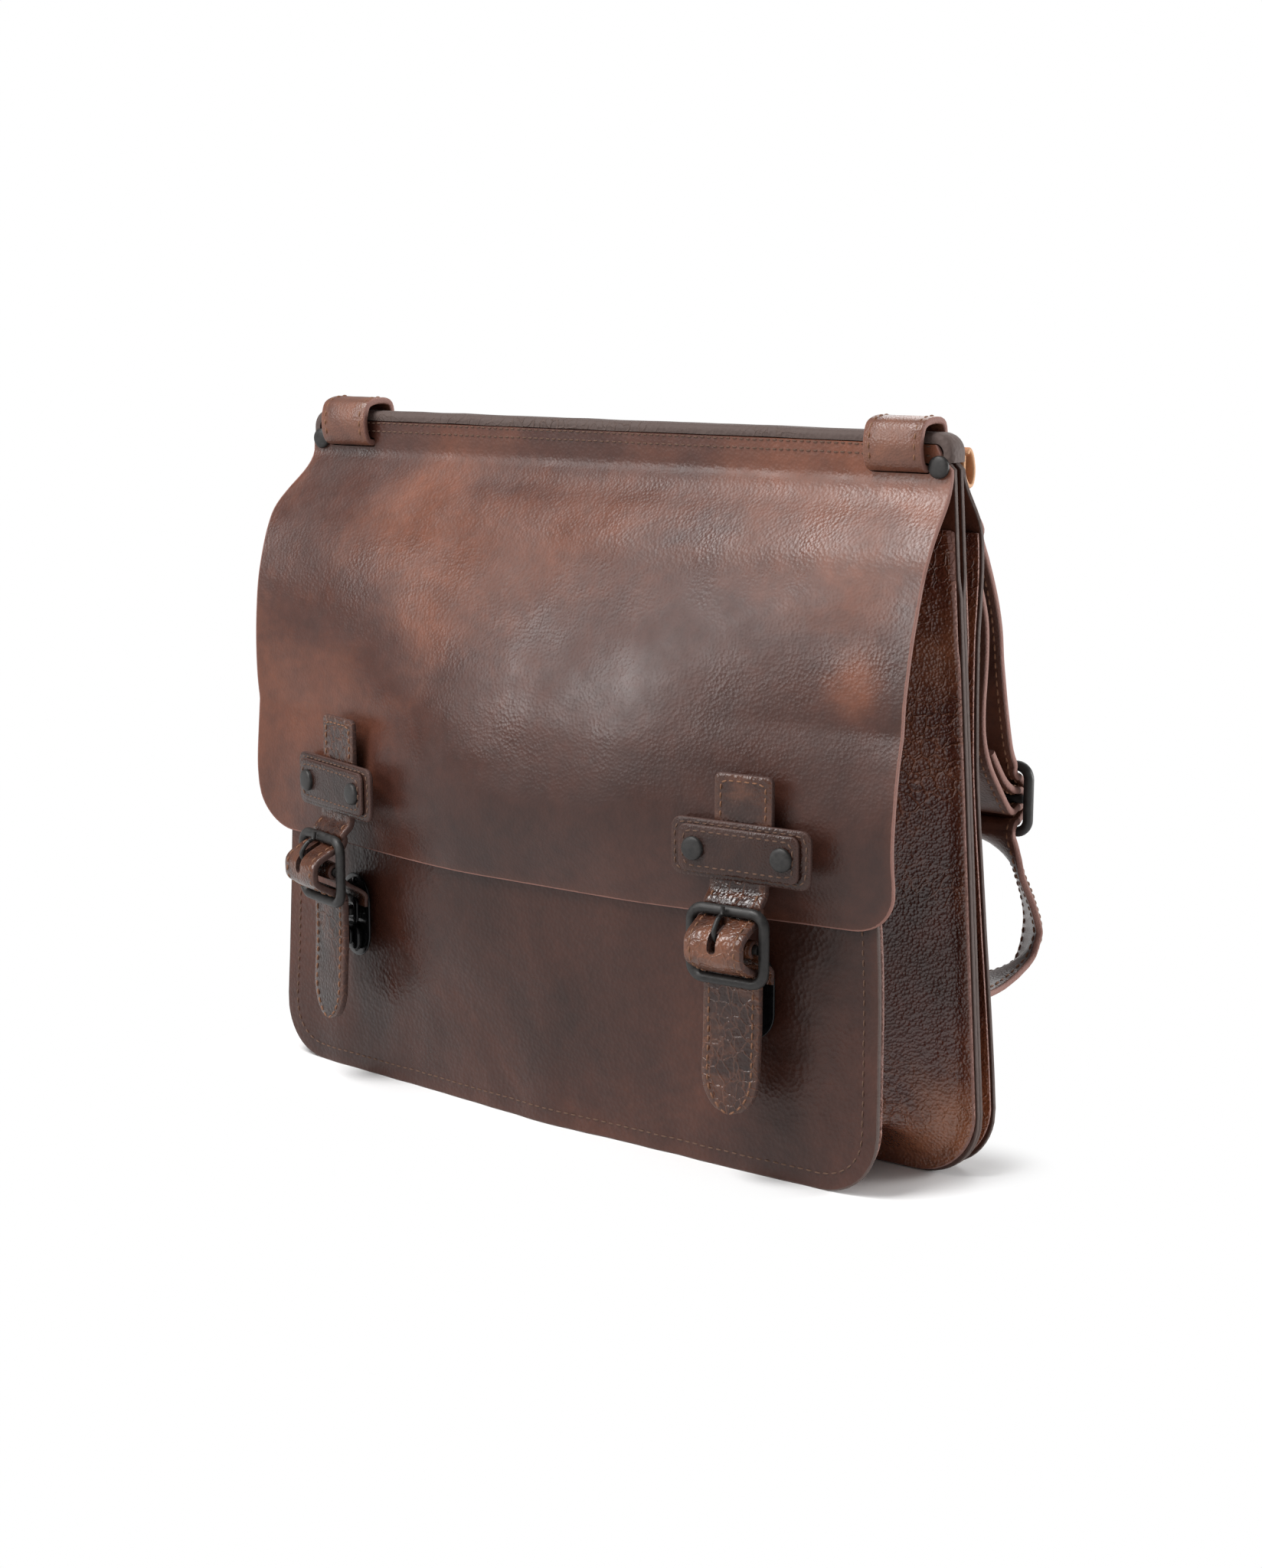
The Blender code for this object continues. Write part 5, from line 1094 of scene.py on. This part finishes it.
def build_closure_strap(side, start, body):
    """Hanging strap with its buckle and prong; returns the place of the buckle's middle bar."""
    path = smooth_path(closure_path(), 6)
    tail, point = -117.0, 18.0
    halves = []
    for _, z in path:
        blunt = 0.06 + 0.94 * math.sqrt(1.0 - (1.0 - clamp((z - tail) / point)) ** 2)
        halves.append(HALF_W * blunt)
    place = start @ Matrix.Translation((-2.0, 0, -GAP))
    strap = strap_piece(f"closure_strap_skin_{side}", path, STRAP_W, STRAP_T, place, STRAP, body,
                        (f"closure_strap_{side}",), halves, outward=-1)
    cut_with(strap, rounded_rectangle(4.2, 15.0, 2.0, (0, -33.6), 4), PLANE - 30.0, PLANE, place)
    strap_stitches(f"closure_strap_stitches_{side}", path, place, STITCH_INSET, STRAP_T, body, halves,
                   outward=outward_sign(path, 6), start=6)
    axis = start @ Matrix.Translation((-2.0, PLANE, -BAR_DROP))
    build_buckle(side, body, "buckle_", (f"buckle_frame_{side}", f"buckle_bar_{side}"), axis)
    prong = smooth_path(prong_path(), 6)
    radii = [lerp(1.35, 0.95, k / (len(prong) - 1)) for k in range(len(prong))]
    tube_piece(f"buckle_prong_skin_{side}", [(0.0, y, z) for y, z in prong], 1.3, axis, METAL,
               f"prong_{side}", (f"buckle_prong_{side}",), radii=radii)
    return axis


def build_lock_tab(side, axis, lock, body):
    """Leather tab from the buckle's bar down to the lock's tongue."""
    foot = axis.inverted() @ lock.translation
    rear = foot.y - 2.6
    tongue_top = foot.z + 10.2
    path = arc((0.0, 0.0), 3.3, 250, 10, 12) + [(4.5, -4.5), (9.3, -8.5)]
    path += [(lerp(7.5, rear, 0.7), -11.6), (rear, tongue_top + 2.0), (rear, tongue_top - 1.0),
             (rear, tongue_top - 3.6)]
    path = smooth_path(path, 3)
    shifts = [lerp(0.0, foot.x, ease((-z - 4.0) / 12.0)) for _, z in path]
    tab = strap_piece(f"lock_tab_skin_{side}", path, 28.0, 2.0, axis, STRAP, body,
                      (f"lock_tab_{side}",), None, shifts, wobble=0.05)
    cut_with(tab, rounded_rectangle(4.2, 9.5, 2.0, (0, 1.75), 4), -9.0, -0.8, axis)


def build_lock(side, lock, strap_body):
    slider_body = f"lock_slider_{side}"
    window = rounded_rectangle(11.0, 6.6, 0.9, (0, 2.4))
    slab_piece(f"lock_tongue_skin_{side}", rounded_rectangle(17.0, 13.0, 3.0, (0, 3.7)), -5.5, -3.9, lock,
               LOCK, strap_body, (f"lock_tongue_{side}",), 0.45, 0.0, window)
    slab_piece(f"lock_plate_skin_{side}", rounded_rectangle(27.0, 42.0, 13.3, steps=10), -1.3, 0.0,
               lock, LOCK, "bag", (f"lock_plate_{side}",), 0.45, 0.15)
    slab_piece(f"lock_housing_{side}", rounded_rectangle(16.0, 13.5, 5.0, (0, -10.75)), -5.3, -1.2, lock,
               LOCK, "bag", None, 1.2, 0.2)
    slab_piece(f"lock_catch_{side}", rounded_rectangle(7.0, 4.0, 1.2, (0, 2.4)), -6.7, -1.2, lock, METAL,
               "bag", None, 0.6, 0.2)
    for end, z in (("low", -17.6), ("high", 17.6)):
        turned_piece(f"lock_pin_{side}_{end}", [
            (0, -2.3), (1.0, -2.2), (1.6, -1.8), (1.7, -1.2), (0, -1.1)],
            lock @ Matrix.Translation((0, 0, z)), LOCK, "bag", None, 16)
    slab_piece(f"lock_slider_skin_{side}", rounded_rectangle(12.0, 9.0, 3.0, (0, -9.5)), -8.4, -5.6, lock,
               LOCK, slider_body, (f"lock_slider_{side}",), 1.0, 0.2)
    for rib in range(4):
        slab_piece(f"lock_slider_rib_{side}_{rib}",
                   rounded_rectangle(8.6, 0.9, 0.42, (0, -12.0 + 1.7 * rib), 3), -9.0, -8.2, lock, LOCK,
                   slider_body, None, 0.2, 0.0)


def build_closure(side):
    start = closure_frame(side)
    lock = lock_place(start)
    strap_body = f"closure_strap_{side}"
    build_crosspiece(side, start)
    axis = build_closure_strap(side, start, strap_body)
    build_lock_tab(side, axis, lock, strap_body)
    build_lock(side, lock, strap_body)


def outward_sign(path, k):
    """Which way along the path's normals the front (-y) lies."""
    return 1 if normals_of(path)[k].x < 0 else -1


# ---------------------------------------------------------------- shoulder straps and corners

def outer_run():
    """Outer run of the shoulder strap, through its buckle and down to the anchor."""
    y, z = SHOULDER_Y, SHOULDER_Z
    top_bar, low_bar = z + BAR_RISE, z - BAR_RISE
    bulge = y + FOLD_WRAP + STRAP_T + GAP + 0.6
    path = [(42.0, 286.5), (42.5, 280.5), (49.0, 264.0), (54.5, 240.0), (58.5, 217.0),
            (y - WRAP - 5.0, top_bar + 12.0)]
    path += arc((y, top_bar), WRAP, 165, 270, 4)
    path += [(bulge - 1.6, z + 5.0), (bulge, z), (bulge - 1.6, z - 5.0)]
    path += arc((y, low_bar), WRAP, 90, 200, 4)
    return path + [(y + 2.0, low_bar - 11.0), (94.0, 112.0), (103.0, 92.0), (95.0, 77.0), (76.0, 71.0),
                   (50.0, ANCHOR_Z + 0.2), (30.0, ANCHOR_Z)]


def inner_run():
    """Run nearer the bag, which folds back round the buckle's middle bar."""
    y, z = SHOULDER_Y, SHOULDER_Z
    path = [(32.5, 286.5), (33.0, 280.5), (37.0, 266.0), (42.0, 245.0), (42.5, 225.0), (41.0, 207.0),
            (42.0, 192.0), (48.0, 178.0), (60.0, 163.0), (y - 7.5, z - 4.6)]
    path += arc((y, z), FOLD_WRAP, 250, 460, 9)
    return path + [(y - 6.8, z + 5.6), (y - 16.0, z + 12.0), (y - 27.0, z + 25.5)]


def build_strap_loop(side, place, y, slot_z):
    ring = [(y, HEIGHT - 6.0), (y - 1.5, HEIGHT + 3.2), (0.0, HEIGHT + 5.0), (0.6 - y, HEIGHT + 3.4),
            (-y - 2.0, HEIGHT - 1.2), (-y - 2.6, HEIGHT - 7.0), (-y - 1.2, slot_z + 2.4), (1.6 - y, slot_z),
            (0.0, slot_z), (y - 2.0, slot_z), (y, slot_z + 3.0)]
    ring = smooth_path(ring + [ring[0]], 5)[:-1]
    thickness = 3.3
    strap_piece(f"strap_loop_skin_{side}", ring, STRAP_W, thickness, place, LOOP, "bag",
                (f"strap_loop_{side}",), closed=True, wobble=0.2)
    strap_stitches(f"strap_loop_stitches_{side}", ring, place, STITCH_INSET, thickness, "bag",
                   [HALF_W] * len(ring), outward=loop_sign(ring), start=8, end=30)


def build_anchor(side, x):
    """Tab and stud that hold the lower end of a shoulder strap to the back panel."""
    thickness, across, stud_y = 2.5, 24.0, 38.0
    base = max(back_face(x + s * across / 2, z) for s in (-1, 0, 1) for z in (24, 40, 52))
    base += GAP + thickness / 2
    top = ANCHOR_Z - HALF_T - GAP - thickness / 2 - 0.4
    path = smooth_path([(base, 24.0), (base, 40.0), (base, top - 14.0), (base + 2.5, top - 5.0),
                        (base + 9.0, top), (stud_y, top), (47.0, top)], 5)
    spot = Matrix.Translation((x, 0, 0))
    strap_piece(f"anchor_tab_skin_{side}", path, across, thickness, spot, STRAP, "bag",
                (f"anchor_tab_{side}",), outward=-1, wobble=0.1)
    strap_stitches(f"anchor_tab_stitches_{side}", path, spot, 3.2, thickness, "bag",
                   [across / 2] * len(path), outward=-1, end=14)
    low, high = top - 1.55, top + thickness / 2
    upright = Matrix.Translation((x, stud_y, 0)) @ Matrix.Rotation(math.radians(90), 4, "X")
    turned_piece(f"anchor_stud_skin_{side}", [
        (0, low - 2.4), (2.0, low - 2.2), (3.6, low - 1.6), (4.2, low - 0.7), (4.2, low), (1.6, low),
        (1.6, high), (0, high)], upright, METAL, "bag", (f"anchor_stud_{side}",))


def build_shoulder(side, sign):
    x = sign * SLOT_X
    place = Matrix.Translation((x, 0, 0))
    body = f"shoulder_strap_{side}"
    y = BAR_FACE + GAP + HALF_T + 0.8
    slot_z = HEIGHT - 13.0 - 0.6 - HALF_T
    build_strap_loop(side, place, y, slot_z)
    runs = (("shoulder_strap", [(y + 3.4, HEIGHT - 7.0), (y + 4.6, HEIGHT - 15.0), (27.0, 301.0)],
             outer_run()),
            ("strap_fold", [(y + 0.6, slot_z + 0.5), (y + 3.6, slot_z - 4.0), (23.0, 303.0)], inner_run()))
    for name, upper, lower in runs:
        path = smooth_path(upper + lower, 5)
        halves = [HALF_W] * len(path)
        turned = [ease((145.0 - z) / 20.0) * ease((z - 66.0) / 14.0) * ease((y - 58.0) / 20.0)
                  if name == "shoulder_strap" else 0.0 for y, z in path]
        shifts = [sign * (SHOULDER_SHIFT * ease((286.5 - z) / 50.0) + 9.0 * t)
                  for (_, z), t in zip(path, turned)]
        twists = [sign * TWIST * t for t in turned]
        piece = strap_piece(f"{name}_skin_{side}", path, STRAP_W, STRAP_T, place, REAR_STRAP, None,
                            (f"{name}_{side}",), halves, shifts, wobble=0.3,
                            twists=twists)
        stitches = strap_stitches(f"{name}_stitches_{side}", path, place, STITCH_INSET, STRAP_T, None,
                                  halves, shifts, start=4, end=len(path) - 3, both=True, twists=twists)
        for made in (piece, stitches):
            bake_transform(made, "bag", body, start=(x * MM, 0.030, 0.298), end=(x * MM, 0.030, 0.268))
    low_x = x + sign * SHOULDER_SHIFT
    build_buckle(side, body, "shoulder_buckle_",
                 (f"shoulder_buckle_{side}", f"shoulder_buckle_bar_{side}"),
                 Matrix.Translation((low_x, SHOULDER_Y, SHOULDER_Z)))
    build_anchor(side, low_x)


def loop_sign(ring):
    """Which way along the ring's normals the outside lies."""
    return 1 if normals_of(ring)[10].y > 0 else -1


def build_corner(side, sign):
    x, z, inner = sign * (half_width(HEIGHT) - 4.9), 315.5, BAR_FACE + GAP
    mid = inner + 1.0
    place = Matrix.Translation((x, 0, z))
    turned_piece(f"corner_rivet_skin_{side}", [
        (0, -inner - 2.1), (3.0, -inner - 2.0), (4.3, -inner - 1.7), (4.9, -inner - 1.1), (5.0, -inner),
        (1.4, -inner), (1.4, inner + 2.3), (4.0, inner + 2.3), (3.6, inner + 3.3), (0, inner + 3.6)],
        place, METAL, "bag", (f"corner_rivet_{side}",))
    path = [(mid, z + 4.5), (mid, z - 2.0), (mid + 1.4, z - 5.5), (mid + 4.6, z - 8.8),
            (mid + 7.6, z - 7.4), (mid + 8.6, z - 2.0), (mid + 7.0, z + 4.0), (mid + 4.4, z + 6.8),
            (mid + 3.0, z + 5.0)]
    strap_piece(f"corner_tab_skin_{side}", smooth_path(path, 6), 9.4, 2.0,
                Matrix.Translation((x, 0, 0)), TAN, "bag", (f"corner_tab_{side}",),
                wobble=0.1)


# ---------------------------------------------------------------- stage

def white_floor():
    """Floor material: it keeps the shadow under and beside the bag, and is plain white beyond."""
    made = bpy.data.materials.new("floor_white")
    made.use_nodes = True
    nodes, links = made.node_tree.nodes, made.node_tree.links
    shader = nodes["Principled BSDF"]
    shader.inputs["Base Color"].default_value = (0.86, 0.86, 0.86, 1)
    shader.inputs["Roughness"].default_value = 0.7
    shader.inputs["Specular IOR Level"].default_value = 0.15
    glow = nodes.new("ShaderNodeEmission")
    glow.inputs["Color"].default_value = (1, 1, 1, 1)
    blend = nodes.new("ShaderNodeMixShader")
    away = nodes.new("ShaderNodeTexCoord").outputs["Object"]
    centre, half_sides = (0, -0.018, 0), (0.195, 0.036, 0)
    for operation, value in (("SUBTRACT", centre), ("ABSOLUTE", None), ("SUBTRACT", half_sides),
                             ("MAXIMUM", (0, 0, 0)), ("LENGTH", None)):
        step = nodes.new("ShaderNodeVectorMath")
        step.operation = operation
        if value:
            step.inputs[1].default_value = value
        links.new(away, step.inputs[0])
        away = step.outputs["Value" if operation == "LENGTH" else "Vector"]
    span = nodes.new("ShaderNodeMapRange")
    span.inputs["From Max"].default_value = 0.036
    span.interpolation_type = "SMOOTHSTEP"
    links.new(away, span.inputs["Value"])
    links.new(span.outputs["Result"], blend.inputs["Fac"])
    links.new(shader.outputs["BSDF"], blend.inputs[1])
    links.new(glow.outputs["Emission"], blend.inputs[2])
    links.new(blend.outputs["Shader"], nodes["Material Output"].inputs["Surface"])
    return made


def build_floor():
    mesh = bpy.data.meshes.new("floor")
    bm = bmesh.new()
    bmesh.ops.create_circle(bm, cap_ends=True, radius=14.0, segments=64)
    bm.to_mesh(mesh)
    bm.free()
    mesh.materials.append(white_floor())
    floor = bpy.data.objects.new("floor", mesh)
    bpy.context.scene.collection.objects.link(floor)


def build_world():
    """White to the camera, and a soft fill to the bag."""
    world = bpy.data.worlds.new("studio")
    bpy.context.scene.world = world
    world.use_nodes = True
    nodes, links = world.node_tree.nodes, world.node_tree.links
    fill, seen = nodes["Background"], nodes.new("ShaderNodeBackground")
    for background, strength in ((fill, 0.32), (seen, 1.0)):
        background.inputs["Color"].default_value = (1, 1, 1, 1)
        background.inputs["Strength"].default_value = strength
    rays = nodes.new("ShaderNodeLightPath")
    blend = nodes.new("ShaderNodeMixShader")
    links.new(rays.outputs["Is Camera Ray"], blend.inputs["Fac"])
    links.new(fill.outputs["Background"], blend.inputs[1])
    links.new(seen.outputs["Background"], blend.inputs[2])
    links.new(blend.outputs["Shader"], nodes["World Output"].inputs["Surface"])


def build_lights():
    aim = Vector((0, 0, 0.16))
    for name, place, size, power in (
        ("key", (-0.5, -1.0, 2.1), 1.0, 54.0), ("front", (-1.1, -1.66, 1.0), 0.8, 17.0),
        ("side", (1.5, 1.3, 0.5), 0.7, 40.0), ("back", (-0.4, 1.6, 1.3), 1.2, 15.0),
    ):
        data = bpy.data.lights.new(name, "AREA")
        data.size = size
        data.energy = power
        light = bpy.data.objects.new(name, data)
        light.location = place
        light.rotation_euler = (aim - Vector(place)).to_track_quat("-Z", "Y").to_euler()
        bpy.context.scene.collection.objects.link(light)


def build_camera():
    """Camera fitted to the photograph's viewing angle, in metres."""
    azimuth, elevation, distance = math.radians(36.895), math.radians(10.742), 1.26208
    target = Vector((0.01076, 0, 0.1577))
    back = Vector((math.sin(azimuth) * math.cos(elevation), -math.cos(azimuth) * math.cos(elevation),
                   math.sin(elevation)))
    data = bpy.data.cameras.new("camera")
    data.lens = 60.66
    camera = bpy.data.objects.new("camera", data)
    camera.location = target + back * distance
    camera.rotation_euler = back.to_track_quat("Z", "Y").to_euler()
    bpy.context.scene.collection.objects.link(camera)
    bpy.context.scene.camera = camera
    bpy.context.scene.view_settings.view_transform = "Standard"


build_body()
build_welt()
build_gussets()
for side_name, side_sign in (("left", -1), ("right", 1)):
    build_closure(side_name)
    build_shoulder(side_name, side_sign)
    build_corner(side_name, side_sign)
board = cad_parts["spine_board"]
board.data.materials.clear()
board.data.materials.append(BOARD)
build_floor()
build_world()
build_lights()
build_camera()
